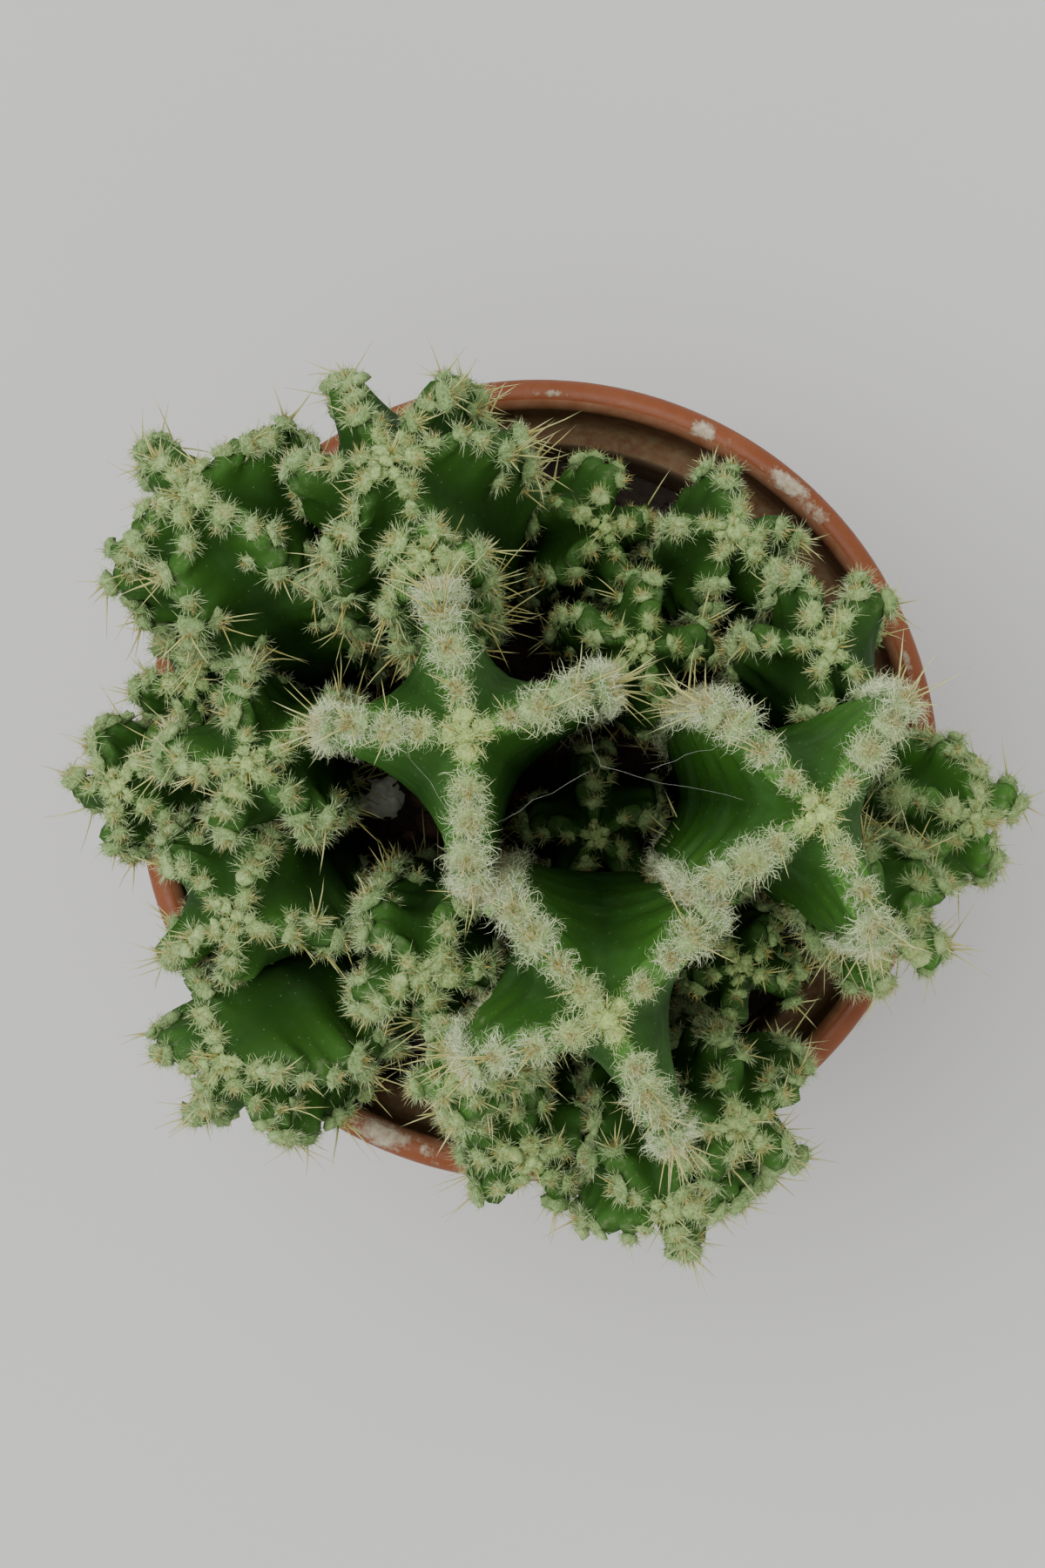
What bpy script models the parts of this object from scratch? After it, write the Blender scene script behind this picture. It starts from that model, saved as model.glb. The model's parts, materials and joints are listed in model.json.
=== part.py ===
"""A fairy castle cactus in a small plastic pot.

Ribbed stems stand in holes in the soil, the tallest in the middle and the younger
ones leaning out over the rim. Each stem is one solid, with its buds, the raised
areoles along its ribs and the spines fused to it. The frame has +Z up and its
origin at the centre of the pot's underside.
"""
import math
import random
from collections import namedtuple

import bmesh
import bpy
import numpy as np
from mathutils import Vector

MM = 0.001
GAP = 0.3 * MM

# Pot
POT_HEIGHT = 70 * MM
RIM_RADIUS = 40 * MM
RIM_WIDTH = 3 * MM
COLLAR_HEIGHT = 12 * MM
COLLAR_FOOT_RADIUS = 38.7 * MM
BODY_TOP_RADIUS = 36.4 * MM
BASE_RADIUS = 28 * MM
WALL = 2 * MM
FLOOR = 2.2 * MM
STEP_FALL = 0.4 * MM
LIP_DEPTH = 3.6 * MM
LIP_INSET = 0.3 * MM
LIP_OVERHANG = 0.5 * MM
FOOT_CHAMFER = 1 * MM
POT_STEPS = 36
LIP_POINTS = 5
DRAIN_HOLES = 6
DRAIN_RADIUS = 3 * MM
DRAIN_CIRCLE = 16 * MM
MERGE_DISTANCE = 0.05 * MM
SHADE_ANGLE = 50

# Soil
SOIL_TOP = 52 * MM
SOIL_BUMP = 0.8 * MM
SOIL_RINGS = 5
SOIL_SEGMENTS = 26
HOLE_SEGMENTS = 9
HOLE_CLEARANCE = 0.45 * MM
ROOT_DEPTH = 9 * MM
LUMP_RISE = 0.25
LUMP_ROUGHNESS = 0.12

# Ribs, areoles and spines
AREOLE_PITCH_TIP = 5.0 * MM
AREOLE_PITCH_FOOT = 7.5 * MM
PITCH_GROWTH = 1.09
AREOLE_HEIGHT = 1.1 * MM
AREOLE_HALF_WIDTH = 1.7 * MM
WAIST_DEPTH = 0.5 * MM
WAIST_HALF_WIDTH = 0.9 * MM
CREST_SHARE = 0.36
FOOT_ROUNDNESS = 0.97
VALLEY_SAG = 2.4 * MM
TIP_HEIGHT = 0.4 * MM
PLAIN_FOOT = 4 * MM
ROUND_FOOT = 9 * MM
SPINE_RADIUS = 0.34 * MM
SPINE_SINK = 1.6 * MM
SPINE_LENGTHS = (4.6 * MM, 6.4 * MM)
SPINE_TILTS = (12, 50)
SPINE_CLEARANCE = 1.3 * MM
SPINE_SOIL_CLEARANCE = 3 * MM
SKIN_COLOUR = (0.075, 0.18, 0.055)
SKIN_TONES = (0.9, 1.05)
PATH_SAMPLES = 60
ELBOW_SHARE = 0.45
SLOPE_STEP = 0.2 * MM
CROWD_GAP = 1.1 * MM
LIP_GUARD = 4.2 * MM
CROWDED = 1.0 * MM
DRAW_IN_STEPS = 12

# A lump in the soil: its place (x, y) and half lengths in mm, its turn in degrees, its colour.
Lump = namedtuple("Lump", "name place halves turn colour")
LUMPS = (
    Lump("perlite_lump", (-16.3, -1.8), (2.6, 2.1, 1.8), 25, (0.42, 0.40, 0.36)),
    Lump("bark_lump", (19.6, 13.2), (3.2, 2.0, 1.5), -40, (0.10, 0.055, 0.035)),
)

# How a stem's ribs are cut: the crown's drop and the cleft between ribs as shares of the
# radius, the cleft lower down after each rib, and the depth over which it fills.
Habit = namedtuple("Habit", "drop cleft filled fill_depth rise")
YOUNG = Habit(drop=0.75, cleft=0.42, filled=(0.80,), fill_depth=9 * MM, rise=0.60)
GROWN = Habit(drop=0.42, cleft=0.20, filled=(0.62,), fill_depth=11 * MM, rise=0.62)
LEFT = GROWN._replace(filled=(0.60, 0.76, 0.62, 0.42))
RIGHT = GROWN._replace(filled=(0.60, 0.60, 0.54, 0.62))
FRONT = GROWN._replace(filled=(0.72, 0.66, 0.50, 0.62))

# A stem: where it stands (x, y), its tip (x, y, height above the rim), its radius over the
# ribs and at the soil, all in mm, and the directions of its ribs in degrees.
Stem = namedtuple("Stem", "name foot tip radius foot_radius ribs habit")
# A bud or branch: the stem it grows from, its start and elbow inside or beside that stem,
# and its tip, with heights above the rim, in mm.
Bud = namedtuple("Bud", "parent start elbow tip radius foot_radius ribs")


def even_ribs(count, turn):
    """Directions of evenly spaced ribs, in degrees."""
    return tuple(turn + 360 * i / count for i in range(count))


STEMS = (
    Stem("stem_tall_left", (-6, 3), (-6.3, 3.8, 60), 12.0, 6.0, (21, 102, 175, 271), LEFT),
    Stem("stem_tall_right", (19, -2.5), (23.9, -2.9, 60), 12.0, 6.0, (52, 133, 213, 297), RIGHT),
    Stem("stem_tall_front", (4.5, -15.5), (5.6, -20.3, 60), 12.2, 6.0, (44, 132, 201, 298), FRONT),
    Stem("stem_rear_left", (-9.5, 20), (-13.7, 28.4, 41), 11.5, 5.2, (22, 62, 118, 178, 238, 302), YOUNG),
    Stem("stem_corner_left", (-20.5, 14.5), (-32.3, 26.4, 32), 11.2, 5.0, (50, 135, 205, 262, 328), YOUNG),
    Stem("stem_left", (-24, 3), (-26.5, 1.4, 36), 8.5, 5.0, even_ribs(5, 30), YOUNG),
    Stem("stem_left_low", (-24.5, -8), (-28, -12.5, 27), 10.5, 4.8, (72, 145, 215, 262, 342), YOUNG),
    Stem("stem_front_left", (-18.5, -18.5), (-29.5, -26.2, 22), 10.7, 4.8, (120, 186, 233, 290, 350), YOUNG),
    Stem("stem_inner_left", (-8, -12.5), (-10.5, -17.8, 34), 7.5, 4.6, even_ribs(5, 65), YOUNG),
    Stem("stem_front", (-2.5, -26.5), (-0.8, -35.8, 20), 7.5, 4.6, even_ribs(5, 20), YOUNG),
    Stem("stem_front_right", (10.5, -25), (12.0, -40.3, 23), 9.3, 4.8, even_ribs(5, 0), YOUNG),
    Stem("stem_between", (16.5, -14.5), (18.7, -17.4, 25), 6.5, 4.4, even_ribs(5, 50), YOUNG),
    Stem("stem_right_rear", (26, 7.5), (26.6, 12.3, 32), 7.9, 4.6, (53, 110, 170, 262, 311), YOUNG),
    Stem("stem_rear_right", (14, 20), (18.4, 23.3, 18), 7.4, 4.8, (15, 88, 167, 250, 318), YOUNG),
    Stem("stem_rear", (1.5, 23.5), (6.3, 24.2, 14), 7.0, 4.4, even_ribs(5, 10), YOUNG),
    Stem("stem_inner_rear", (7.5, 11), (9.3, 12.2, 28), 7.0, 4.4, even_ribs(5, 80), YOUNG),
    Stem("stem_inner", (6, -4), (5.5, -5.4, 8), 7.5, 4.6, even_ribs(5, 25), YOUNG),
)

BUDS = (
    Bud("stem_tall_left", (-8, 9, 26), (-9.5, 18, 34), (-10.2, 19.5, 48), 4.6, 3.4, even_ribs(5, 10)),
    Bud("stem_tall_right", (22, -2, -4), (34, -2.5, 4), (40.8, -3.6, 22), 6.7, 4.3, even_ribs(5, 15)),
    Bud("stem_tall_right", (24, -5, 14), (31, -11, 20), (31.4, -13.7, 38), 6.0, 4.0, even_ribs(5, 40)),
    Bud("stem_tall_right", (18.5, -6, 8), (14, -11, 14), (14, -11.4, 32), 4.6, 3.4, even_ribs(5, 20)),
    Bud("stem_tall_front", (2, -20, 22), (-5.5, -24, 26), (-6.6, -26.4, 42), 4.6, 3.4, even_ribs(5, 60)),
    Bud("stem_left", (-25, 2, -4), (-34, 0, 2), (-39.8, -0.6, 20), 6.2, 4.0, (55, 125, 187, 250, 320)),
    Bud("stem_left", (-25, 3, -2), (-32, 8, 2), (-33, 9.6, 18), 5.6, 3.6, even_ribs(5, 45)),
    Bud("stem_front_right", (11.5, -27.5, 2), (16.5, -28, 9), (18.6, -31.8, 28), 7.5, 4.2, even_ribs(5, 30)),
)


def metres(point):
    """A point given in mm as an array in metres."""
    return np.array(point, dtype=float) * MM


def above_rim(point):
    """A point in mm with its height above the rim, as an array in metres."""
    return metres(point) + np.array((0, 0, POT_HEIGHT))


def smooth(value):
    """A soft step from 0 to 1."""
    value = np.clip(value, 0, 1)
    return value * value * (3 - 2 * value)


class Shoot:
    """The centre line and the ribbed skin of one stem or bud."""

    def __init__(self, centres, spring, radius, foot_radius, ribs, habit):
        self.centres = centres
        self.spring = spring
        self.radius = radius * MM
        self.foot_share = foot_radius / radius
        self.habit = habit
        self.ribs = np.radians(sorted(ribs))
        self.filled = np.resize(habit.filled, len(ribs))
        spans = np.diff(np.append(self.ribs, self.ribs[0] + 2 * math.pi))
        self.valleys = self.ribs + spans / 2
        self.half_span = spans.min() / 2
        steps = np.linalg.norm(np.diff(centres, axis=0), axis=1)
        self.reach = np.concatenate(([0], np.cumsum(steps)))
        self.length = self.reach[-1]
        tangents = np.gradient(centres, self.reach, axis=0)
        self.tangents = tangents / np.linalg.norm(tangents, axis=1)[:, None]
        sweep = np.linspace(0, math.pi / 2, PATH_SAMPLES)
        drop = habit.drop * self.radius
        crown = np.stack((self.radius * np.sin(sweep), drop * (1 - np.cos(sweep))), axis=1)
        arcs = np.linalg.norm(np.diff(crown, axis=0), axis=1)
        self.crown = crown
        self.crown_reach = np.concatenate(([0], np.cumsum(arcs)))
        self.girth = self.radius * self.swell(self.reach)
        self.neighbours = []

    def centre(self, along):
        """The centre line's point and its three axes at a distance from the foot."""
        point = np.array([np.interp(along, self.reach, self.centres[:, i]) for i in range(3)])
        up = np.array([np.interp(along, self.reach, self.tangents[:, i]) for i in range(3)])
        up /= np.linalg.norm(up)
        point += up * max(along - self.length, 0)
        turn = np.array((-up[1], up[0], 0))
        axes = []
        for axis in np.eye(3)[:2]:
            swung = np.cross(turn, axis)
            axes.append(axis + swung + np.cross(turn, swung) / (1 + up[2]))
        return point, axes[0], axes[1], up

    def crest(self, distance):
        """Radius and drop of a rib's crest at a distance along it from the tip."""
        end = self.crown_reach[-1]
        radius = np.interp(distance, self.crown_reach, self.crown[:, 0])
        drop = np.interp(distance, self.crown_reach, self.crown[:, 1]) + max(distance - end, 0)
        return radius, drop

    def swell(self, along):
        """The share of the full radius at a distance from the foot."""
        free = self.length - self.spring
        rise = smooth((along - self.spring) / (self.habit.rise * free))
        return self.foot_share + (1 - self.foot_share) * rise

    def place(self, angle, radius, along, aside=0.0):
        """A point at an angle and radius round the centre line, drawn in where it is crowded."""
        centre, side, front, _ = self.centre(along)
        outward = math.cos(angle) * side + math.sin(angle) * front
        across = math.cos(angle) * front - math.sin(angle) * side
        offset = outward * radius + across * aside
        girth = self.radius * self.swell(along)
        if self.is_free(centre + offset, np.linalg.norm(offset) / girth):
            return centre + offset
        low, high = 0.0, 1.0
        for _ in range(DRAW_IN_STEPS):
            share = 0.5 * (low + high)
            if self.is_free(centre + offset * share, np.linalg.norm(offset) * share / girth):
                low = share
            else:
                high = share
        return centre + offset * low

    def is_free(self, point, fullness):
        """Whether a point keeps clear of the pot, and of the neighbours at the same fullness."""
        if not clears_pot(point, CROWD_GAP):
            return False
        for other in self.neighbours:
            if (np.linalg.norm(other.centres - point, axis=1) - fullness * other.girth).min() < CROWD_GAP:
                return False
        return True

    def crest_slope(self, distance):
        """How fast a crest's radius and drop grow along it."""
        radius, drop = self.crest(distance)
        radius_next, drop_next = self.crest(distance + SLOPE_STEP)
        return (radius_next - radius) / SLOPE_STEP, (drop_next - drop) / SLOPE_STEP

    def crest_place(self, angle, distance, lift, aside=0.0):
        """A point on a rib's crest, lifted along the crest's normal."""
        radius, drop = self.crest(distance)
        outward, down = self.crest_slope(distance)
        radius = radius * self.swell(self.length - drop)
        return self.place(angle, radius + lift * down, self.length - drop + lift * outward, aside)

    def crest_normal(self, angle, distance):
        """The direction straight out of a rib's crest."""
        outward, down = self.crest_slope(distance)
        _, side, front, up = self.centre(self.length - self.crest(distance)[1])
        normal = (math.cos(angle) * side + math.sin(angle) * front) * down + up * outward
        return normal / np.linalg.norm(normal)

    def is_crowded(self, angle, distance):
        """Whether a rib's crest is drawn in at a distance from the tip."""
        radius, drop = self.crest(distance)
        along = self.length - drop
        reached = np.linalg.norm(self.place(angle, radius * self.swell(along), along) - self.centre(along)[0])
        return reached < radius * self.swell(along) - CROWDED

    def stations(self):
        """Distances along a rib from the tip: each areole's, and the waist's below it."""
        pitch = AREOLE_PITCH_TIP
        distance = 0.5 * pitch
        while self.length - self.crest(distance)[1] > self.spring + PLAIN_FOOT:
            following = min(pitch * PITCH_GROWTH, AREOLE_PITCH_FOOT)
            yield distance, distance + 0.25 * (pitch + following)
            distance += 0.5 * (pitch + following)
            pitch = following

    def ring(self, distance, lift, half_width):
        """One closed section: two points on each crest and one in each valley."""
        radius, drop = self.crest(distance)
        along = self.length - drop
        radius = radius * self.swell(along)
        filling = 1 - math.exp(-drop / self.habit.fill_depth)
        shares = self.habit.cleft + (self.filled - self.habit.cleft) * filling
        rounding = 1 - smooth((along - self.spring) / ROUND_FOOT)
        shares += (FOOT_ROUNDNESS - shares) * rounding
        widest = CREST_SHARE * radius * self.half_span
        half_width = min(half_width, widest)
        half_width += (widest - half_width) * rounding
        sag = VALLEY_SAG * min(radius / self.radius, 1) * (1 - rounding)
        points = []
        for rib, valley, share in zip(self.ribs, self.valleys, shares):
            points.append(self.crest_place(rib, distance, lift, -half_width))
            points.append(self.crest_place(rib, distance, lift, half_width))
            points.append(self.place(valley, share * radius, along - sag))
        return points

    def rings(self):
        """Sections from the tip to the foot."""
        sections = []
        for areole, waist in self.stations():
            sections.append(self.ring(areole, AREOLE_HEIGHT, AREOLE_HALF_WIDTH))
            sections.append(self.ring(waist, -WAIST_DEPTH, WAIST_HALF_WIDTH))
        foot = self.crown_reach[-1] + self.length - self.crown[-1, 1]
        if self.spring:
            sections.append(self.ring(foot - self.spring, 0, 0))
        sections.append(self.ring(foot, 0, 0))
        return sections

    def mesh(self, name):
        """The closed skin as a mesh."""
        body = bmesh.new()
        tip = body.verts.new(self.centre(self.length + TIP_HEIGHT)[0])
        rings = [[body.verts.new(point) for point in ring] for ring in self.rings()]
        count = len(rings[0])
        for i in range(count):
            body.faces.new((tip, rings[0][i], rings[0][(i + 1) % count]))
        for upper, lower in zip(rings, rings[1:]):
            for i in range(count):
                j = (i + 1) % count
                body.faces.new((upper[i], lower[i], lower[j], upper[j]))
        body.faces.new(reversed(rings[-1]))
        bmesh.ops.triangulate(body, faces=body.faces)
        mesh = bpy.data.meshes.new(name)
        body.to_mesh(mesh)
        body.free()
        return mesh


def clears_pot(point, gap):
    """Whether a point is inside the pot's wall, or over its lip and clear of it."""
    across = math.hypot(point[0], point[1])
    lip = RIM_WIDTH / 2
    if math.hypot(across - RIM_RADIUS + lip, point[2] - POT_HEIGHT + lip) < LIP_GUARD:
        return False
    if point[2] > POT_HEIGHT:
        return True
    below_ledge = point[2] < POT_HEIGHT - COLLAR_HEIGHT + WALL
    limit = inner_radius(point[2]) if below_ledge else RIM_RADIUS - RIM_WIDTH
    return across < limit - gap


def curve_points(start, elbow, tip):
    """Points along a quadratic curve."""
    t = np.linspace(0, 1, PATH_SAMPLES)[:, None]
    return (1 - t) ** 2 * start + 2 * (1 - t) * t * elbow + t ** 2 * tip


def stem_shoot(stem):
    """A stem that stands upright in the soil and then leans to its tip."""
    tip = above_rim(stem.tip)
    ground = np.array((stem.foot[0] * MM, stem.foot[1] * MM, SOIL_TOP))
    elbow = ground + np.array((0, 0, ELBOW_SHARE * (tip[2] - SOIL_TOP)))
    root = ground - np.array((0, 0, ROOT_DEPTH))
    centres = np.vstack((root, curve_points(ground, elbow, tip)))
    return Shoot(centres, ROOT_DEPTH, stem.radius, stem.foot_radius, stem.ribs, stem.habit)


def bud_shoot(bud):
    """A bud that grows out of a stem's side and turns up."""
    centres = curve_points(above_rim(bud.start), above_rim(bud.elbow), above_rim(bud.tip))
    return Shoot(centres, 0.0, bud.radius, bud.foot_radius, bud.ribs, YOUNG)


def node_shoots():
    """The shoots of each stem's node, the stem itself first."""
    shoots = {stem.name: [stem_shoot(stem)] for stem in STEMS}
    for bud in BUDS:
        shoots[bud.parent].append(bud_shoot(bud))
    for name, group in shoots.items():
        for shoot in group:
            shoot.neighbours = [each for other, rest in shoots.items() if other != name for each in rest]
    return shoots


def finish(name, colour, roughness):
    """A plain material."""
    material = bpy.data.materials.new(name)
    material.use_nodes = True
    shader = material.node_tree.nodes["Principled BSDF"]
    shader.inputs["Base Color"].default_value = (*colour, 1)
    shader.inputs["Roughness"].default_value = roughness
    shader.inputs["Metallic"].default_value = 0
    return material


def add_object(name, mesh, collection, material=None):
    """An object for a mesh, in a collection."""
    item = bpy.data.objects.new(name, mesh)
    collection.objects.link(item)
    if material:
        mesh.materials.append(material)
    return item


def apply_modifiers(item):
    """Replace an object's mesh by its evaluated one."""
    depsgraph = bpy.context.evaluated_depsgraph_get()
    mesh = bpy.data.meshes.new_from_object(item.evaluated_get(depsgraph))
    item.modifiers.clear()
    item.data = mesh


def boolean(item, collection, operation):
    """Apply one Boolean with all the objects of a collection, which are then removed."""
    modifier = item.modifiers.new(operation.lower(), "BOOLEAN")
    modifier.operation = operation
    modifier.operand_type = "COLLECTION"
    modifier.collection = collection
    modifier.solver = "EXACT"
    apply_modifiers(item)
    for other in list(collection.objects):
        bpy.data.objects.remove(other)


def drop_scraps(item):
    """Keep only the largest connected piece of an object's mesh."""
    body = bmesh.new()
    body.from_mesh(item.data)
    pieces = []
    waiting = set(body.verts)
    while waiting:
        piece = [waiting.pop()]
        for vertex in piece:
            for edge in vertex.link_edges:
                other = edge.other_vert(vertex)
                if other in waiting:
                    waiting.remove(other)
                    piece.append(other)
        pieces.append(piece)
    pieces.sort(key=len)
    bmesh.ops.delete(body, geom=[vertex for piece in pieces[:-1] for vertex in piece], context="VERTS")
    body.to_mesh(item.data)
    body.free()


def soften(item):
    """Shade smooth, with the sharp edges kept."""
    item.data.shade_smooth()
    item.data.set_sharp_from_angle(angle=math.radians(SHADE_ANGLE))


def arc(centre, radius, start, end, points):
    """Points of an arc in a profile, from one angle to another in degrees."""
    angles = [math.radians(start + (end - start) * i / (points - 1)) for i in range(points)]
    return [(centre[0] + radius * math.cos(a), centre[1] + radius * math.sin(a)) for a in angles]


def inner_radius(height):
    """The inner wall's radius below the ledge, at a height."""
    ledge = POT_HEIGHT - COLLAR_HEIGHT + WALL / 2
    share = height / ledge
    return BASE_RADIUS - WALL + (BODY_TOP_RADIUS - BASE_RADIUS) * share


def pot_profile():
    """The pot's section, from the floor's centre up the inside and down the outside."""
    ledge = POT_HEIGHT - COLLAR_HEIGHT + WALL / 2
    lip = RIM_WIDTH / 2
    lip_centre = (RIM_RADIUS - lip, POT_HEIGHT - lip)
    profile = [(0, FLOOR), (inner_radius(FLOOR), FLOOR), (inner_radius(ledge), ledge)]
    profile.append((COLLAR_FOOT_RADIUS - WALL, ledge + STEP_FALL))
    profile.append((RIM_RADIUS - RIM_WIDTH + LIP_INSET, POT_HEIGHT - LIP_DEPTH))
    profile.extend(arc(lip_centre, lip, 180, 0, LIP_POINTS))
    profile.append((RIM_RADIUS - LIP_OVERHANG, POT_HEIGHT - LIP_DEPTH))
    profile.append((COLLAR_FOOT_RADIUS, POT_HEIGHT - COLLAR_HEIGHT))
    profile.append((BODY_TOP_RADIUS, POT_HEIGHT - COLLAR_HEIGHT - STEP_FALL))
    profile.extend([(BASE_RADIUS, FOOT_CHAMFER), (BASE_RADIUS - FOOT_CHAMFER, 0), (0, 0)])
    return profile


def make_pot(parts, cutters):
    """The pot: a turned shell with a rounded lip, a collar and drain holes."""
    mesh = bpy.data.meshes.new("pot")
    profile = pot_profile()
    mesh.from_pydata([(r, 0, z) for r, z in profile], [(i, i + 1) for i in range(len(profile) - 1)], [])
    pot = add_object("pot", mesh, parts, finish("terracotta_plastic", (0.47, 0.13, 0.055), 0.42))
    screw = pot.modifiers.new("turn", "SCREW")
    screw.steps = POT_STEPS
    screw.render_steps = POT_STEPS
    screw.use_merge_vertices = True
    screw.merge_threshold = MERGE_DISTANCE
    for i in range(DRAIN_HOLES):
        angle = math.radians(360 * i / DRAIN_HOLES)
        drain = add_object(f"drain_{i}", cylinder_mesh(DRAIN_RADIUS, 3 * FLOOR, HOLE_SEGMENTS), cutters)
        drain.location = (DRAIN_CIRCLE * math.cos(angle), DRAIN_CIRCLE * math.sin(angle), FLOOR / 2)
    bpy.context.view_layer.update()
    boolean(pot, cutters, "DIFFERENCE")
    soften(pot)


def cylinder_mesh(radius, depth, segments):
    """A closed cylinder."""
    body = bmesh.new()
    bmesh.ops.create_cone(body, cap_ends=True, segments=segments, radius1=radius, radius2=radius, depth=depth)
    mesh = bpy.data.meshes.new("cylinder")
    body.to_mesh(mesh)
    body.free()
    return mesh


def soil_bump(x, y):
    """The height of the soil's crumbs over its mean level."""
    crumbs = math.sin(x / (2.9 * MM) + 1.3) * math.cos(y / (3.7 * MM))
    slopes = 0.6 * math.sin((x + y) / (5.3 * MM))
    return SOIL_BUMP * (crumbs + slopes)


def make_soil(parts, cutters):
    """The soil: it fills the pot, with a plain hole for each stem."""
    body = bmesh.new()
    top_radius = inner_radius(SOIL_TOP) - GAP
    bottom = FLOOR + GAP
    centre = body.verts.new((0, 0, SOIL_TOP + soil_bump(0, 0)))
    rings = []
    for level in range(1, SOIL_RINGS + 1):
        radius = top_radius * level / SOIL_RINGS
        ring = []
        for i in range(SOIL_SEGMENTS):
            angle = 2 * math.pi * i / SOIL_SEGMENTS
            x = radius * math.cos(angle)
            y = radius * math.sin(angle)
            height = SOIL_TOP if level == SOIL_RINGS else SOIL_TOP + soil_bump(x, y)
            ring.append(body.verts.new((x, y, height)))
        rings.append(ring)
    share = (inner_radius(bottom) - GAP) / top_radius
    rings.append([body.verts.new((v.co.x * share, v.co.y * share, bottom)) for v in rings[-1]])
    for i in range(SOIL_SEGMENTS):
        j = (i + 1) % SOIL_SEGMENTS
        body.faces.new((centre, rings[0][i], rings[0][j]))
        for inner, outer in zip(rings, rings[1:]):
            body.faces.new((inner[i], outer[i], outer[j], inner[j]))
    body.faces.new(reversed(rings[-1]))
    bmesh.ops.triangulate(body, faces=[face for face in body.faces if len(face.verts) == 4])
    mesh = bpy.data.meshes.new("soil")
    body.to_mesh(mesh)
    body.free()
    soil = add_object("soil", mesh, parts, finish("dark_soil", (0.022, 0.014, 0.010), 0.95))
    for stem in STEMS:
        radius = (stem.foot_radius * MM + HOLE_CLEARANCE) / math.cos(math.pi / HOLE_SEGMENTS)
        hole = add_object(f"hole_{stem.name}", cylinder_mesh(radius, 2 * ROOT_DEPTH, HOLE_SEGMENTS), cutters)
        hole.location = (stem.foot[0] * MM, stem.foot[1] * MM, SOIL_TOP - GAP)
    for lump in LUMPS:
        add_object(f"seat_{lump.name}", lump_mesh(lump, GAP), cutters)
    bpy.context.view_layer.update()
    boolean(soil, cutters, "DIFFERENCE")


def lump_mesh(lump, growth):
    """A rough lump, part sunk in the soil, grown by a margin."""
    body = bmesh.new()
    bmesh.ops.create_icosphere(body, subdivisions=2, radius=1)
    turn = math.radians(lump.turn)
    for vertex in body.verts:
        dent = math.sin(5 * vertex.co.x + 2) * math.cos(4 * vertex.co.y - 3 * vertex.co.z)
        rough = 1 + LUMP_ROUGHNESS * dent
        x, y, z = [co * rough * (half * MM + growth) for co, half in zip(vertex.co, lump.halves)]
        vertex.co.x = lump.place[0] * MM + x * math.cos(turn) - y * math.sin(turn)
        vertex.co.y = lump.place[1] * MM + x * math.sin(turn) + y * math.cos(turn)
        vertex.co.z = SOIL_TOP + LUMP_RISE * lump.halves[2] * MM + z
    mesh = bpy.data.meshes.new(lump.name)
    body.to_mesh(mesh)
    body.free()
    return mesh


def make_lumps(parts):
    """The lumps of perlite and bark that show on the soil."""
    for lump in LUMPS:
        material = finish(f"{lump.name}_surface", lump.colour, 0.9)
        soften(add_object(lump.name, lump_mesh(lump, 0), parts, material))


def spine_mesh(root, direction, length):
    """A three-sided spine with its root sunk."""
    body = bmesh.new()
    bmesh.ops.create_cone(body, cap_ends=True, segments=3, radius1=SPINE_RADIUS, radius2=0, depth=length)
    bmesh.ops.translate(body, verts=body.verts, vec=(0, 0, length / 2 - SPINE_SINK))
    turn = Vector((0, 0, 1)).rotation_difference(direction).to_matrix().to_4x4()
    turn.translation = root
    bmesh.ops.transform(body, matrix=turn, verts=body.verts)
    mesh = bpy.data.meshes.new("spine")
    body.to_mesh(mesh)
    body.free()
    return mesh


def has_room(shoot, point):
    """Whether a spine's point is outside the neighbours, the pot and the soil."""
    if point[2] < SOIL_TOP + SPINE_SOIL_CLEARANCE or not clears_pot(point, SPINE_CLEARANCE):
        return False
    clearance = AREOLE_HEIGHT + SPINE_CLEARANCE
    spaces = [np.linalg.norm(other.centres - point, axis=1) - other.girth for other in shoot.neighbours]
    return min(space.min() for space in spaces) > clearance


def add_spines(shoot, draw, collection):
    """Spines on every other areole, where they stand clear of the neighbours."""
    for row, (distance, _) in enumerate(shoot.stations()):
        for column, rib in enumerate(shoot.ribs):
            tilt = math.radians(draw.uniform(*SPINE_TILTS))
            roll = draw.uniform(0, 2 * math.pi)
            length = draw.uniform(*SPINE_LENGTHS)
            if (row + column) % 2 or shoot.is_crowded(rib, distance):
                continue
            root = Vector(shoot.crest_place(rib, distance, AREOLE_HEIGHT))
            normal = Vector(shoot.crest_normal(rib, distance))
            across = normal.orthogonal().normalized()
            aside = across * math.cos(roll) + normal.cross(across) * math.sin(roll)
            direction = normal * math.cos(tilt) + aside * math.sin(tilt)
            reach = [np.array(root + direction * length * share) for share in (0.5, 1)]
            if all(has_room(shoot, point) for point in reach):
                add_object("spine", spine_mesh(root, direction, length + SPINE_SINK), collection)


def make_stems(parts, joins):
    """Each stem with its buds and spines, fused into one solid."""
    shoots = node_shoots()
    for index, (name, own) in enumerate(shoots.items()):
        draw = random.Random(index)
        tone = draw.uniform(*SKIN_TONES)
        skin = finish(f"{name}_skin", [tone * part for part in SKIN_COLOUR], 0.55)
        stem = add_object(name, own[0].mesh(name), parts, skin)
        for shoot in own[1:]:
            add_object("bud", shoot.mesh("bud"), joins)
        for shoot in own:
            add_spines(shoot, draw, joins)
        boolean(stem, joins, "UNION")
        drop_scraps(stem)
        soften(stem)


def new_collection(name):
    """A collection linked to the scene."""
    collection = bpy.data.collections.new(name)
    bpy.context.scene.collection.children.link(collection)
    return collection


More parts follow.
